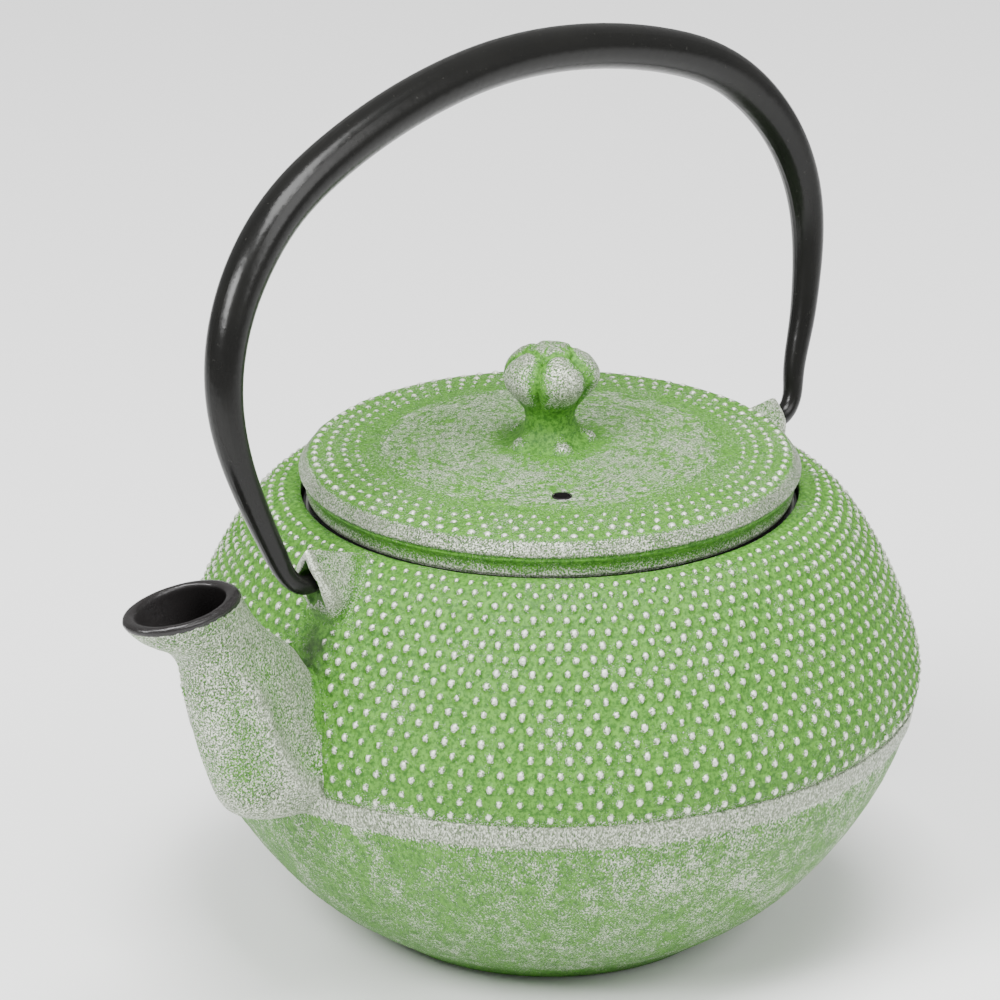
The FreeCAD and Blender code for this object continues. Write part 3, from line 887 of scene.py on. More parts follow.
def spout_piece():
    """Spout: silver on the flanks and the ridges, black enamel on the lip and inside."""
    points, faces = spout_points, spout_faces
    gap = wall_gap(points)
    wear = 0.60 + 0.60 * np.clip(spout_stand, -0.5, 0.4)
    wear = wear - 0.42 * smoothstep(3.5, 0.0, gap) * smoothstep(58, 66, points[:, 2])
    front_low = smoothstep(-80, -92, points[:, 0]) * smoothstep(84, 70, points[:, 2])
    wear = wear - 0.15 * front_low + 0.05 * cast_noise(points, 6.0, 3)
    wear = wear + 0.16 * smoothstep(58, 50, points[:, 2]) - 0.06 * smoothstep(70, 84, points[:, 2])
    inside = smoothstep(0.9, 0.2, np.abs(signed_gap(BORE_TREE, points)))
    top = spout_top_gap(points)
    rim = smoothstep(-1.9, -1.2, top + 0.25 * cast_noise(points, 0.9, 6))
    enamel = np.clip(np.maximum(inside * near_bore(points), rim), 0, 1)
    rough = cast_noise(points, 0.9, 4) * 0.035 * (1 - 0.7 * enamel)
    points = points + face_normals(points, faces) * rough[:, None]
    iron_piece("pot_spout_skin", points, faces, "pot", ["pot_spout", "pot_body"],
               wear=wear, enamel=enamel, grain=points * (1, 1, 0.75))


def spout_top_gap(points):
    """Height of points above the plane of the spout's mouth."""
    (front_x, front_z), (throat_x, throat_z) = SPOUT_SECTIONS[0][:2]
    slope = (throat_z - front_z) / (throat_x - front_x)
    return points[:, 2] - (front_z + (points[:, 0] - front_x) * slope)


def ear_piece(name, shape, points, faces, stand):
    """Ear: silver on the ridge of the hood, green behind it and in the pocket, with painted shade in the
    pocket and under the hook.
    """
    gap = wall_gap(points)
    wear = 0.42 + 0.9 * np.clip(stand, -0.4, 0.45) + 0.10 * smoothstep(0.5, 4.0, gap)
    wear = wear + 0.06 * cast_noise(points, 2.2, 7)
    front_x = shape["rim_x"] - np.clip(shape["chin_z"] + CHIN_SLOPE - points[:, 2], 0, 20) / CHIN_SLOPE
    ridge = smoothstep(3.0, 0.6, front_x - np.abs(points[:, 0]))
    ridge = ridge * smoothstep(shape["hinge_z"] - 8, shape["hinge_z"] - 2, points[:, 2])
    wear = wear + 0.26 * ridge - 0.10 * smoothstep(61, 55, np.abs(points[:, 0]))
    wear = wear - 0.22 * smoothstep(shape["hinge_z"] - 3, shape["hinge_z"] - 8, points[:, 2])
    toward_axis = face_normals(points, faces) * (0, 1, 1) * (points - (0, 0, shape["hinge_z"]))
    deep = (np.abs(points[:, 0]) < shape["rim_x"] - 0.5) & (toward_axis.sum(axis=1) < 0)
    pocket = np.hypot(points[:, 1], points[:, 2] - shape["hinge_z"]) < HOOK_POCKET_R + 0.45
    slot = (np.abs(points[:, 1]) < 2.9) & (points[:, 2] < shape["arch_z"] + 0.5)
    slot &= np.abs(points[:, 0]) > shape["arch_floor_x"] - 0.4
    wear = np.where(deep & (pocket | slot), -0.2, wear)
    rough = cast_noise(points, 0.9, 5) * 0.03
    points = points + face_normals(points, faces) * rough[:, None]
    # painted shade: darker in the pocket and below it, near the ear's middle line
    shaded = deep | (points[:, 2] < shape["hinge_z"] - 4)
    grime = 0.3 * smoothstep(3.4, 2.0, np.abs(points[:, 1])) * shaded
    iron_piece(name, points, faces, "pot", ["pot_body"], wear=wear, grime=grime, grain=points)


# ---- pot: shells ----
FITTED_TREES = [tree_of(front_ear_points, front_ear_faces), tree_of(rear_ear_points, rear_ear_faces),
                tree_of(spout_points, spout_faces)]


def near_fittings(points):
    """For points of the shell: distance to the ears and the spout, and which lie deep under them."""
    distance = np.full(len(points), 50.0)
    under = np.zeros(len(points), bool)
    close = (np.abs(points[:, 1]) < 22) & (points[:, 2] > 20) & (np.abs(points[:, 0]) > 40)
    spots = np.nonzero(close)[0]
    outward = wall_normals(points[spots])
    for tree in FITTED_TREES:
        for index, direction in zip(spots, outward):
            place, direction = Vector(points[index]), Vector(direction)
            found = tree.find_nearest(place, 12.0)
            if found[0] is not None:
                distance[index] = min(distance[index], found[3])
                hit = tree.ray_cast(place, direction, 60.0)
                if hit[0] is not None and hit[1].dot(direction) > 0 and found[3] > 0.8:
                    under[index] = True
    in_front = spots[points[spots, 0] < 0]
    under[in_front] |= near_bore(points[in_front], -0.3)
    return distance, under


def hobnail_field(arc, angle, radius):
    """Height of the hobnails over a grid of arc lengths and angles, from 0 to 1."""
    random = np.random.RandomState(SEED + 1)
    height = np.zeros((len(arc), len(angle)))
    pitch = 2 * math.pi / HOBNAILS
    for row in range(-1, HOBNAIL_ROWS):
        centre = FIRST_ROW_ARC + ROW_STEP * row + ROW_STEP_GROWTH * row * row
        size = random.uniform(0.9, 1.1, HOBNAILS)
        lift = random.uniform(0.85, 1.1, HOBNAILS) * (1.0 if row >= 0 else 0.35)
        shift = random.uniform(-0.05, 0.05, HOBNAILS)
        drift = random.uniform(-0.12, 0.12, HOBNAILS)
        size *= 0.78 + 0.22 * smoothstep(0, 5, row)
        turns = angle / pitch - 0.5 * (row % 2)
        nearest = np.round(turns).astype(int)
        which = nearest % HOBNAILS
        rows = np.nonzero(np.abs(arc - centre) < 2.2)[0]
        across = (turns - nearest - shift[which])[None, :] * pitch * radius[rows][:, None]
        along = arc[rows][:, None] - centre - drift[which][None, :]
        tail = np.where(along > 0, 1.18, 0.92)
        reach = (across / (HOBNAIL_HALF_WIDTH * size[which])) ** 2
        reach = reach + (along / (HOBNAIL_HALF_HEIGHT * tail * size[which])) ** 2
        dome = np.clip(1 - reach, 0, 1) ** 1.35 * lift[which][None, :]
        height[rows] = np.maximum(height[rows], dome)
    return height


def hobnail_outline():
    """The wall from the band up to inside the mouth, and each point's distance from the mouth's edge."""
    length = arc_length(UPPER_OUTLINE[::-1])[-1]
    count = int(length / SHELL_STEP)
    outline = even(UPPER_OUTLINE[::-1], count)
    at = np.linspace(0, length, count)
    lip = rounded([(LIP_IN_R, 90.2), (LIP_IN_R, 91.75), outline[2]], LIP_ROUND * 2, 6)
    outline = np.concatenate([lip[:-1], outline[2:]])[::-1]
    return outline, np.concatenate([np.full(len(lip) - 1, -1.0), at[2:]])[::-1]


def hobnail_shell():
    """Upper wall with its hobnails, in sectors."""
    outline, at = hobnail_outline()
    columns = HOBNAILS * COLUMNS_PER_HOBNAIL
    smooth = turned(outline, columns)
    outward = turned(outline_normals(outline), columns)
    nails = hobnail_field(at, turn_angles(columns), outline[:, 0])
    distance, under = near_fittings(smooth.reshape(-1, 3))
    distance = distance.reshape(nails.shape)
    # a plain strip runs down from the front ear to the spout
    between = smoothstep(4.2, 2.6, np.abs(smooth[..., 1] - 1.8)) * smoothstep(82, 79, smooth[..., 2])
    nails = nails * smoothstep(0.2, 1.3, distance) * (1 - between * (smooth[..., 0] < 0))
    skin = cast_noise(smooth, 1.3, 11) * 0.03 + cast_noise(smooth, 7.0, 12) * 0.05
    skin = skin * smoothstep(0.0, 2.0, distance)
    grid = smooth + outward * (nails * HOBNAIL_HEIGHT + skin)[..., None]
    vertex_normals = grid_normals(grid).reshape(-1, 3)
    patch = cast_noise(smooth, 11.0, 13)
    ragged = nails + 0.10 * cast_noise(smooth, 0.55, 14)
    wear = 0.12 + 0.04 * patch + 2.2 * skin + 1.05 * smoothstep(0.40, 0.86, ragged) * (nails > 0.02)
    beside_ear = smoothstep(80, 86, smooth[..., 2])
    wear = wear + (0.05 + 0.25 * beside_ear) * np.exp(-distance / 2.0)
    wear = wear + 0.25 * smoothstep(52.5, 50.2, smooth[..., 2])
    mouth = smoothstep(-2.0, 2.5, at)[:, None]
    wear = wear * mouth + 0.28 * (1 - mouth)
    # painted shade: the strip in the crease under the front ear's hook, above the spout, is darkened as if
    # in shadow
    recess = smoothstep(5.5, 1.0, np.abs(smooth[..., 1])) * smoothstep(83, 78, smooth[..., 2])
    grime = 0.6 * recess * (smooth[..., 0] < 0) * (1 + 0.6 * cast_noise(smooth, 1.5, 15)).clip(0, 1.5)
    faces = grid_faces(len(outline), columns)
    faces = faces[~under[faces].all(axis=1)]
    points = grid.reshape(-1, 3)
    column = faces[:, 0] % columns
    for sector in range(SECTORS):
        mine = faces[column * SECTORS // columns == sector]
        place, mine, normals, worn, dark = kept(points, mine, vertex_normals, wear.reshape(-1),
                                                grime.reshape(-1))
        iron_piece(f"pot_hobnail_shell_{sector + 1}", place, mine, "pot", ["pot_body"],
                   normals=normals, wear=worn, grime=dark, grain=place)


def lower_shell():
    """Band, lower wall and base, from the middle of the base up."""
    columns = 560
    base = rounded([(3.0, BASE_RECESS), (27.0, BASE_RECESS), (28.2, 0.0), (33.2, 0.0),
                    LOWER_OUTLINE[6]], 0.8, 4)
    wall = even(LOWER_OUTLINE[7:], 110)
    band = rounded([LOWER_OUTLINE[-1], BAND_OUTLINE[1], BAND_OUTLINE[2], BAND_OUTLINE[3],
                    (72.9, BAND_HIGH_Z + 0.35)], 0.35, 4)
    centre = even([(AXIS_GAP, BASE_RECESS), (27.0, BASE_RECESS)], 22)
    outline = np.concatenate([centre, base[3:-1], wall[:-1], even(band[:-1], 30), band[-1:]])
    smooth = turned(outline, columns)
    outward = turned(outline_normals(outline), columns)
    distance, under = near_fittings(smooth.reshape(-1, 3))
    distance = distance.reshape(smooth.shape[:2])
    below = smoothstep(BAND_LOW_Z + 0.2, BAND_LOW_Z - 1.5, smooth[..., 2])
    rough = cast_noise(smooth, 1.2, 21) * 0.045 + cast_noise(smooth, 4.0, 22) * 0.07
    rough = rough * (0.25 + 0.75 * below) * smoothstep(0.0, 2.0, distance)
    rough = rough * smoothstep(0.3, 3.0, smooth[..., 2])
    grid = smooth + outward * rough[..., None]
    turn = np.arctan2(smooth[..., 1], smooth[..., 0])
    # one side of the bowl is rubbed more than the other
    toward_right = smoothstep(0.03, 0.30, 0.5 - 0.5 * np.cos(turn - math.radians(170)))
    wear = 0.31 + 0.06 * toward_right + 0.05 * cast_noise(smooth * (1, 1, 0.35), 8.0, 23)
    wear = wear + 0.13 * cast_noise(smooth * (1, 1, 0.35), 1.3, 24) + 1.2 * rough
    wear = wear * below + (1 - below) * (0.80 + 0.06 * cast_noise(smooth, 5.0, 25))
    wear = wear * smoothstep(-0.5, 6.0, smooth[..., 2])
    faces = grid_faces(len(outline), columns)
    faces = faces[~under[faces].all(axis=1)]
    points, faces, normals, wear = kept(grid.reshape(-1, 3), faces, grid_normals(grid).reshape(-1, 3),
                                        wear.reshape(-1))
    grime = 0.12 * smoothstep(BAND_LOW_Z - 0.6, BAND_LOW_Z + 0.4, points[:, 2])
    iron_piece("pot_lower_shell", points, faces, "pot", ["pot_body"], normals=normals, wear=wear,
               grime=grime, grain=points * (1, 1, 0.5))


FLOOR_Z = 5.0
LEDGE_UNDER_Z = 84.8
INNER_WALL = [(50.5, LEDGE_UNDER_Z), (55.0, 83.4), (58.6, 80.2), (64.0, 72.2), (68.1, 63.3), (70.2, 53.5),
              (69.0, 44.0), (64.2, 33.2), (57.6, 23.9), (48.6, 14.6), (40.0, 8.6), (30.0, FLOOR_Z)]


def pot_inside():
    """Black enamel from the mouth's ledge down to the floor, with the way out to the spout."""
    columns = 420
    ledge = rounded([(LIP_IN_R, 90.3), (LIP_IN_R, LEDGE_Z), (LEDGE_R, LEDGE_Z),
                     (LEDGE_R, LEDGE_UNDER_Z), INNER_WALL[0]], 0.6, 5)
    wall = spline(INNER_WALL, 110)
    floor = even([INNER_WALL[-1], (AXIS_GAP, FLOOR_Z)], 26)
    outline = np.concatenate([ledge[:-1], wall[:-1], floor])
    grid = turned(outline, columns)
    points = grid.reshape(-1, 3)
    _, sideways = from_passage(points)
    reach = np.linalg.norm(sideways, axis=1)
    front = points[:, 0] < -40
    snap = front & (np.abs(reach - PASSAGE_R) < 0.75)
    points = points.copy()
    points[snap] += sideways[snap] * ((PASSAGE_R - reach[snap]) / reach[snap])[:, None]
    faces = grid_faces(len(outline), columns)
    middle_reach = reach[faces].mean(axis=1)
    faces = faces[~((middle_reach < PASSAGE_R) & front[faces[:, 0]])]
    points, faces = kept(points, faces)
    add_piece("pot_enamel_inside", points, faces, BLACK_ENAMEL, "pot", ["pot_body"], "green_iron")


spout_piece()
ear_piece("pot_front_ear", FRONT_EAR, front_ear_points, front_ear_faces, front_ear_stand)
ear_piece("pot_rear_ear", REAR_EAR, rear_ear_points, rear_ear_faces, rear_ear_stand)
hobnail_shell()
lower_shell()
pot_inside()


# ---- lid ----
def lid_dome(radius):
    """Height of the lid's domed top: the arc through its three points."""
    (_, top), (r1, z1), (r2, z2) = LID_DOME
    curve = np.polyfit([0, r1 ** 2, r2 ** 2], [top, z1, z2], 2)
    return np.polyval(curve, radius ** 2)


def round_grain(points, around, along):
    """Place for flecks drawn out along circles about Z, without a seam."""
    radius = np.hypot(points[:, 0], points[:, 1])
    angle = np.arctan2(points[:, 1], points[:, 0])
    return np.stack([np.cos(angle) * around, np.sin(angle) * around, radius * along], axis=1)


def lid_dot_field(radius, angle, on_top):
    """Height of the lid's dots over a grid of radii and angles, from 0 to 1."""
    random = np.random.RandomState(SEED + 2)
    height = np.zeros((len(radius), len(angle)))
    pitch = 2 * math.pi / LID_DOTS
    for ring, centre in enumerate(LID_DOT_RINGS):
        size = random.uniform(0.85, 1.1, LID_DOTS) * (1.05 - 0.08 * ring)
        lift = random.uniform(0.75, 1.15, LID_DOTS) * (1.05 - 0.12 * ring)
        turns = angle / pitch - 0.5 * (ring % 2)
        nearest = np.round(turns).astype(int)
        which = nearest % LID_DOTS
        rows = np.nonzero(on_top & (np.abs(radius - centre) < 1.4))[0]
        across = (turns - nearest)[None, :] * pitch * radius[rows][:, None]
        along = radius[rows][:, None] - centre
        reach = (across ** 2 + along ** 2) / (LID_DOT_HALF * size[which]) ** 2
        height[rows] = np.maximum(height[rows], np.clip(1 - reach, 0, 1) ** 1.3 * lift[which])
    return height


def lid_rim():
    """Dotted ring, bevel and wall of the lid, upwards and inwards."""
    columns = LID_DOTS * COLUMNS_PER_LID_DOT
    wall = np.concatenate([LID_FOOT, spline([LID_FOOT[-1]] + LID_HOLLOW, 9)[1:], LID_BEVEL])
    shoulder = (47.9, lid_dome(47.9))
    edge = rounded(np.concatenate([wall, [shoulder]]), 0.45, 4)
    radii = np.arange(shoulder[0] - 0.25, LID_SPLIT_R - 0.01, -0.31)
    radii = np.append(radii[:-1], LID_SPLIT_R)
    top = np.stack([radii, lid_dome(radii)], axis=1)
    outline = np.concatenate([edge, top])
    smooth = turned(outline, columns)
    angle = turn_angles(columns)
    outward = turned(outline_normals(outline), columns)
    radius = outline[:, 0]
    on_top = np.arange(len(outline)) >= len(edge) - 2
    dots = lid_dot_field(radius, angle, on_top)
    skin = cast_noise(smooth, 1.1, 31) * 0.035 * on_top[:, None]
    wave = cast_noise(smooth, 2.4, 32) * 0.12
    on_edge = smoothstep(97.2, 98.1, smooth[..., 2]) * smoothstep(47.4, 48.2, radius)[:, None]
    grid = smooth + outward * (dots * LID_DOT_HEIGHT + skin + wave * on_edge)[..., None]
    bevel = smoothstep(95.7, 96.3, smooth[..., 2]) * smoothstep(47.9, 48.4, radius)[:, None]
    wear = 0.25 + 0.04 * cast_noise(smooth, 9.0, 33) + 1.0 * smoothstep(0.26, 0.66, dots)
    below = smoothstep(95.9, 95.4, smooth[..., 2])
    foot = smoothstep(92.6, 92.0, smooth[..., 2])
    # painted shade: the wall under the bevel has less silver at its top, in the bevel's shadow, and more
    # lower down where it is lit
    lit = smoothstep(95.0, 92.2, smooth[..., 2])
    wear = wear * (1 - below) + below * (0.14 + 0.32 * lit)
    wear = wear + 0.18 * foot + 0.38 * bevel
    grime = (0.20 * bevel * (1 + 0.5 * cast_noise(smooth, 12.0, 34))).clip(0, 1)
    iron_grid("lid_dotted_rim", grid, "lid", ["lid"], wear=wear, grime=grime, grain=grid,
              enamel=smoothstep(91.6, 91.1, smooth[..., 2]))


def pierced(points, faces, step):
    """Faces without those over the vent, whose edge is drawn to the vent's circle."""
    away = points[:, :2] - VENT
    reach = np.maximum(np.linalg.norm(away, axis=1), 1e-9)
    snap = np.abs(reach - VENT_R) < step
    points = points.copy()
    points[snap, :2] += away[snap] * ((VENT_R - reach[snap]) / reach[snap])[:, None]
    inside = reach[faces].mean(axis=1) < VENT_R
    return points, faces[~inside]


def lid_middle():
    """Rough middle of the lid's top, with the vent."""
    columns = 616
    radii = np.linspace(LID_SPLIT_R, 0.05, 128)
    outline = np.stack([radii, lid_dome(radii)], axis=1)
    smooth = turned(outline, columns)
    stretched = round_grain(smooth.reshape(-1, 3), 18.0, 1.35).reshape(smooth.shape)
    rough = lattice_noise(stretched, 0.8, 41) * 0.07 + cast_noise(smooth, 2.2, 42) * 0.012
    inner = smoothstep(LID_SPLIT_R, LID_SPLIT_R - 3, radii)[:, None]
    skin = cast_noise(smooth, 1.1, 31) * 0.035
    grid = smooth.copy()
    grid[..., 2] += rough * inner + skin * (1 - inner)
    flecked = smoothstep(37.0, 31.0, radii)[:, None]
    knob_foot = smoothstep(14.0, 10.0, radii)[:, None]
    wear = 0.25 + 0.17 * flecked - 0.24 * knob_foot + 0.04 * cast_noise(smooth, 9.0, 33)
    wear = wear + 4.0 * rough * flecked
    points, faces = pierced(grid.reshape(-1, 3), grid_faces(len(outline), columns), 0.2)
    points, faces, normals, wear, grain = kept(points, faces, grid_normals(grid).reshape(-1, 3),
                                               wear.reshape(-1),
                                               round_grain(smooth.reshape(-1, 3), 20.0, 1.1))
    vent_outline = rounded([(2.3, 101.2), (1.78, 100.95), (VENT_R, 97.6)], 0.4, 3)[1:]
    vent = turned(vent_outline, VENT_COLUMNS) + (VENT[0], VENT[1], 0)
    vent[0, :, 2] = lid_dome(np.hypot(vent[0, :, 0], vent[0, :, 1]))
    vent_faces = grid_faces(len(vent_outline), VENT_COLUMNS)
    vent_points = vent.reshape(-1, 3)
    iron_piece("lid_vent_wall", vent_points, vent_faces, "lid", ["lid"], grain=vent_points,
               wear=np.full(len(vent_points), 0.1), enamel=smoothstep(101.2, 100.7, vent_points[:, 2]))
    iron_piece("lid_middle", points, faces, "lid", ["lid"], normals=normals, wear=wear, grain=grain)


# from the knob's seat out over the ring that stands in the mouth to the foot of the rim
UNDERSIDE = [(0.05, 98.0), (8.0, 98.0), (8.5, 98.3), (35.6, 96.8), (35.6, 84.0), (38.3, 84.0),
             (38.3, 96.3), (44.6, 95.6), (44.6, 89.3), (48.2, 89.3)]
UNDERSIDE_STEP = 0.9
UNDERSIDE_COLUMNS = 300


def lid_underside():
    """Black underside: ring, plate and skirt."""
    corners = rounded(UNDERSIDE, 0.5, 4)
    pieces = []
    for start, end in zip(corners, corners[1:]):
        count = int(np.linalg.norm(end - start) / UNDERSIDE_STEP) + 1
        pieces.append(even([start, end], max(2, count))[:-1])
    outline = np.concatenate(pieces + [corners[-1:]])
    grid = turned(outline, UNDERSIDE_COLUMNS)
    grid = grid + grid_normals(grid) * (cast_noise(grid, 1.6, 51) * 0.04)[..., None]
    points, faces = pierced(grid.reshape(-1, 3), grid_faces(len(outline), UNDERSIDE_COLUMNS), 0.45)
    points, faces = kept(points, faces)
    add_piece("lid_underside", points, faces, BLACK_ENAMEL, "lid", ["lid"], "green_iron")


lid_rim()
lid_middle()
lid_underside()


# ---- knob ----
# the middle line of a lobe, (r, z), from the foot up, and how deep the grooves beside it are
KNOB_OUTLINE = [(10.6, 100.9), (7.4, 102.3), (5.7, 104.2), (5.0, 106.6), (5.2, 108.2), (6.5, 110.2),
                (8.6, 112.6), (9.75, 114.8), (9.6, 116.6), (8.4, 118.6), (6.6, 120.0), (4.4, 121.1),
                (2.2, 121.7), (0.03, 121.8)]
GROOVE_DEPTH = 1.8
CAP_R = 4.9                 # the scalloped groove round the knob's middle cap
CAP_SCALLOP = 0.9
CAP_DEPTH = 0.5
TOE_HEIGHT = 1.4
# the tenon's peened end under the washer, from the lid down
RIVET = [(2.9, 98.2), (2.9, 97.0), (4.4, 97.0), (4.4, 95.5), (0.05, 95.5)]
RIVET_COLUMNS = 60


def knob():
    """Bud of five lobes round a middle cap, on a neck that flares into five small toes."""
    columns = 300
    outline = spline(KNOB_OUTLINE, 150)
    smooth = turned(outline, columns)
    angle = turn_angles(columns)
    lobe = np.abs(np.cos(LOBES / 2 * (angle - math.radians(LOBE_FIRST_ANGLE))))[None, :]
    bulge = 1 - (1 - lobe) ** 3
    crest = np.clip(outline[:, 1:], 0, 200)
    radius = outline[:, :1]
    under_cap = smoothstep(4.6, 6.2, radius) + (crest < 119)
    in_head = smoothstep(107.6, 113.0, crest) * np.clip(under_cap, 0, 1)
    groove = (1 - lobe ** 0.36) * in_head
    cap_line = CAP_R + CAP_SCALLOP * (1 - 2 * lobe)
    cap_groove = np.exp(-((radius - cap_line) / 0.75) ** 2) * (crest > 117)
    toe = np.exp(-((radius - 7.6) / 1.7) ** 2) * (crest < 105) * lobe ** 6
    outward = turned(outline_normals(outline), columns)
    skin = cast_noise(smooth, 0.9, 61) * 0.04 + cast_noise(smooth, 3.5, 63) * 0.12
    move = toe * TOE_HEIGHT - groove * GROOVE_DEPTH - cap_groove * CAP_DEPTH + skin
    grid = smooth + outward * move[..., None]
    head = smoothstep(109.0, 112.5, crest) * np.ones_like(lobe)
    open_face = 1 - np.clip(1.9 * groove + 1.3 * cap_groove, 0, 1)
    wear = head * (0.10 + 0.56 * bulge * open_face) + 0.04 * (1 - head)
    wear = wear + 0.6 * toe + 0.12 * cast_noise(smooth, 3.0, 62) * head
    iron_grid("knob_bud", grid, "lid", ["lid_knob"], wear=wear, grain=smooth)
    rivet = turned(rounded(RIVET, 0.8, 5)[::-1], RIVET_COLUMNS)
    add_piece("knob_rivet", rivet.reshape(-1, 3), grid_faces(len(rivet), RIVET_COLUMNS),
              BLACK_ENAMEL, "lid", ["lid_knob"], "green_iron")


knob()


# ---- infuser: woven wire ----
MESH_R = 39.2
MESH_LOW_Z, MESH_HIGH_Z = 51.4, 86.0
BASE_MESH_Z = 51.15
BASE_MESH_R = 38.7
WIRE_R = 0.13
WIRE_PITCH = 1.1


def wires(paths, radius, sides=4):
    """Thin tubes along many open paths, (wires, stations, 3)."""
    paths = np.asarray(paths)
    along = np.gradient(paths, axis=1)
    along /= np.linalg.norm(along, axis=2, keepdims=True)
    up = np.array((0.31, 0.17, 0.93))
    side = np.cross(along, up)
    side /= np.linalg.norm(side, axis=2, keepdims=True)
    other = np.cross(along, side)
    turn = (np.arange(sides) + 0.5) * 2 * math.pi / sides
    rings = (paths[:, :, None, :] + radius * (np.cos(turn)[:, None] * side[:, :, None, :]
                                              + np.sin(turn)[:, None] * other[:, :, None, :]))
    count, stations = paths.shape[:2]
    points = rings.reshape(-1, 3)
    tube = grid_faces(stations, sides)
    faces = (np.arange(count)[:, None, None] * stations * sides + tube[None]).reshape(-1, 4)
    return points, faces


def wall_mesh():
    """Uprights and hoops that pass over and under one another."""
    uprights = int(round(2 * math.pi * MESH_R / WIRE_PITCH / 2)) * 2
    rings = int((MESH_HIGH_Z - MESH_LOW_Z) / WIRE_PITCH)
    heights = MESH_LOW_Z + (np.arange(rings * 2 + 1)) * WIRE_PITCH / 2
    angle = np.arange(uprights) * 2 * math.pi / uprights
    sign = np.where(np.arange(uprights) % 2, 1, -1)[:, None]
    weave = np.sin(np.arange(len(heights)) * math.pi / 2)[None, :] * sign * WIRE_R
    radius = MESH_R + weave
    paths = np.stack([radius * np.cos(angle)[:, None], radius * np.sin(angle)[:, None],
                      np.repeat(heights[None], uprights, axis=0)], axis=2)
    upright_points, upright_faces = wires(paths, WIRE_R)
    stations = uprights * 2
    turn = np.arange(stations + 1) * 2 * math.pi / stations
    level = MESH_LOW_Z + (np.arange(rings) + 0.5) * WIRE_PITCH
    flip = np.where(np.arange(rings) % 2, 1, -1)[:, None]
    radius = MESH_R - np.cos(np.arange(stations + 1) * math.pi / 2)[None, :] * flip * WIRE_R
    paths = np.stack([radius * np.cos(turn), radius * np.sin(turn),
                      np.repeat(level[:, None], stations + 1, axis=1)], axis=2)
    hoop_points, hoop_faces = wires(paths, WIRE_R)
    add_piece("infuser_wall_uprights", upright_points, upright_faces, STEEL, "infuser",
              ["infuser_wall"], "steel_mesh")
    add_piece("infuser_wall_hoops", hoop_points, hoop_faces, STEEL, "infuser", ["infuser_wall"],
              "steel_mesh")


def base_mesh():
    """Two crossing sets of wires, cut to a disc."""
    count = int(BASE_MESH_R / WIRE_PITCH)
    points, faces = [], []
    start = 0
    for across in (0, 1):
        for index in range(-count, count + 1):
            offset = index * WIRE_PITCH
            half = math.sqrt(max(BASE_MESH_R ** 2 - offset ** 2, 1))
            at = np.arange(-half, half + 0.01, WIRE_PITCH / 2)
            wave = np.cos(at / WIRE_PITCH * math.pi) * WIRE_R * (1 if (index + across) % 2 else -1)
            line = np.stack([at, np.full(len(at), offset), BASE_MESH_Z + wave], axis=1)
            if across:
                line = line[:, [1, 0, 2]]
            tube_points, tube_faces = wires([line], WIRE_R, 3)
            points.append(tube_points)
            faces.append(tube_faces + start)
            start += len(tube_points)
    add_piece("infuser_base_weave", np.concatenate(points), np.concatenate(faces), STEEL, "infuser",
              ["infuser_base"], "steel_mesh")


wall_mesh()
base_mesh()


# ---- nodes whose own shape is shown ----
def finish_node(name, material):
    """Gives a node of the frame its material."""
    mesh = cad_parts[name].data
    mesh.materials.clear()
    mesh.materials.append(material)


finish_node("bail_handle", PAINT)
for steel_node in ("knob_washer", "infuser_rim", "infuser_base_band"):
    finish_node(steel_node, STEEL)


# ---- floor, light and camera, in metres ----
FLOOR_HALF = 3.0
FLOOR_GAP = 0.0002          # the floor lies this far under the foot
WORLD_STRENGTH = 0.50
LAMP_TARGET = (0, 0, 0.08)
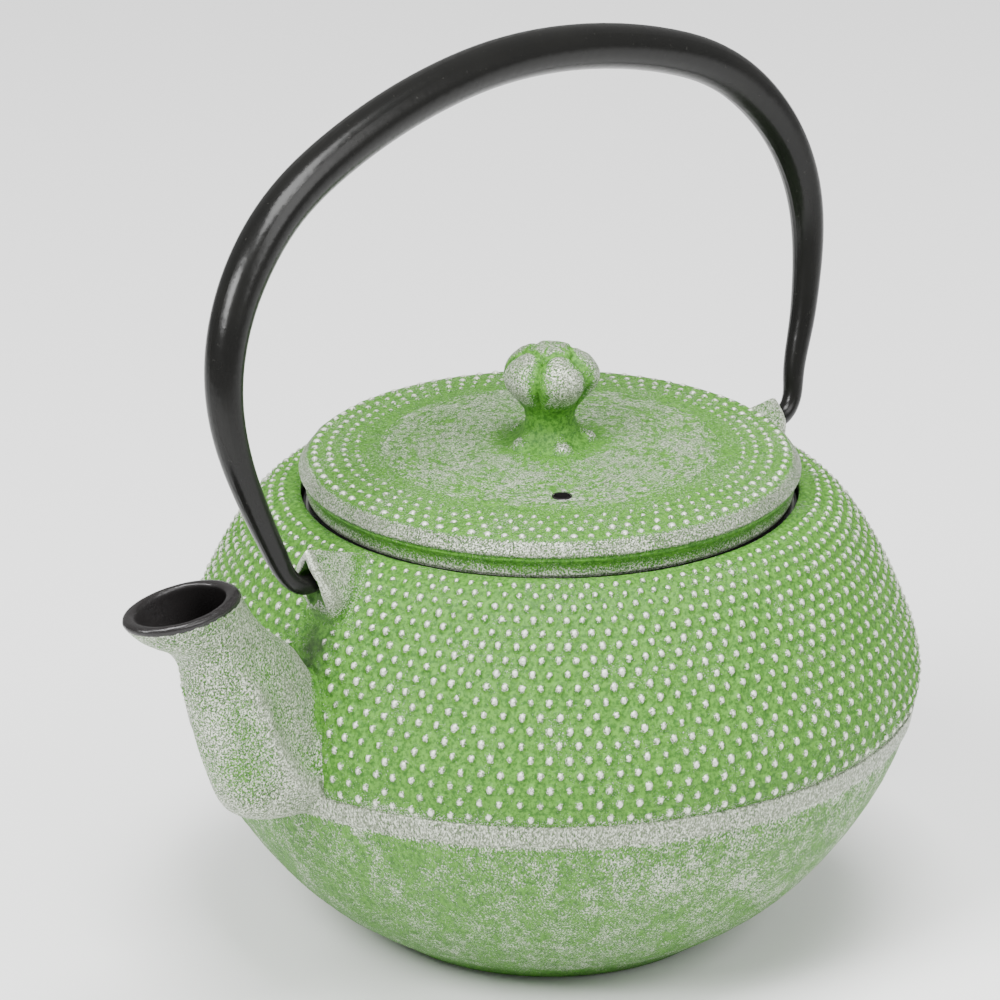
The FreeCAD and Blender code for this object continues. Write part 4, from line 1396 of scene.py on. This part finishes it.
# name, azimuth from +X and elevation in degrees, distance, side of the square, power in watts
LAMPS = [("key", -175, 42, 1.3, 0.5, 26),
         ("fill", -75, 35, 1.5, 0.8, 13),
         ("top", -110, 78, 1.3, 0.7, 32)]
CAMERA_PLACE = (-0.93368, -0.88364, 0.58272)
CAMERA_TARGET = (-0.00690, 0.00717, 0.08886)
CAMERA_LENS = 248.9         # millimetres, on a sensor 36 mm wide
CAMERA_ROLL = -0.06         # degrees


def stage():
    """Pale floor and even white surroundings."""
    material, _, shader = new_material("pale_floor")
    shader.inputs["Base Color"].default_value = FLOOR_GREY
    shader.inputs["Roughness"].default_value = 0.85
    size = FLOOR_HALF
    mesh = bpy.data.meshes.new("floor")
    mesh.from_pydata([(-size, -size, 0), (size, -size, 0), (size, size, 0), (-size, size, 0)], [],
                     [(0, 1, 2, 3)])
    mesh.materials.append(material)
    floor = bpy.data.objects.new("floor", mesh)
    floor.location.z = -FLOOR_GAP
    bpy.context.scene.collection.objects.link(floor)
    world = bpy.data.worlds.new("studio")
    world.use_nodes = True
    background = world.node_tree.nodes["Background"]
    background.inputs["Color"].default_value = (1.0, 1.0, 1.0, 1)
    background.inputs["Strength"].default_value = WORLD_STRENGTH
    bpy.context.scene.world = world


def soft_box(name, azimuth, elevation, distance, size, power):
    """Square area light that looks at the middle of the pot."""
    light = bpy.data.lights.new(name, "AREA")
    light.shape = "SQUARE"
    light.size = size
    light.energy = power
    lamp = bpy.data.objects.new(name, light)
    turn, rise = math.radians(azimuth), math.radians(elevation)
    away = Vector((math.cos(turn) * math.cos(rise), math.sin(turn) * math.cos(rise), math.sin(rise)))
    lamp.location = Vector(LAMP_TARGET) + away * distance
    lamp.rotation_euler = (-away).to_track_quat("-Z", "Y").to_euler()
    bpy.context.scene.collection.objects.link(lamp)


def camera():
    """Long lens from the front left, a little above the lid."""
    data = bpy.data.cameras.new("camera")
    data.lens = CAMERA_LENS
    data.sensor_width = 36.0
    data.clip_start = 0.05
    data.clip_end = 20
    view = bpy.data.objects.new("camera", data)
    view.location = CAMERA_PLACE
    aim = (Vector(CAMERA_TARGET) - view.location).to_track_quat("-Z", "Y")
    view.rotation_euler = aim.to_euler()
    view.rotation_euler.rotate_axis("Z", math.radians(CAMERA_ROLL))
    bpy.context.scene.collection.objects.link(view)
    bpy.context.scene.camera = view


stage()
for lamp_values in LAMPS:
    soft_box(*lamp_values)
camera()
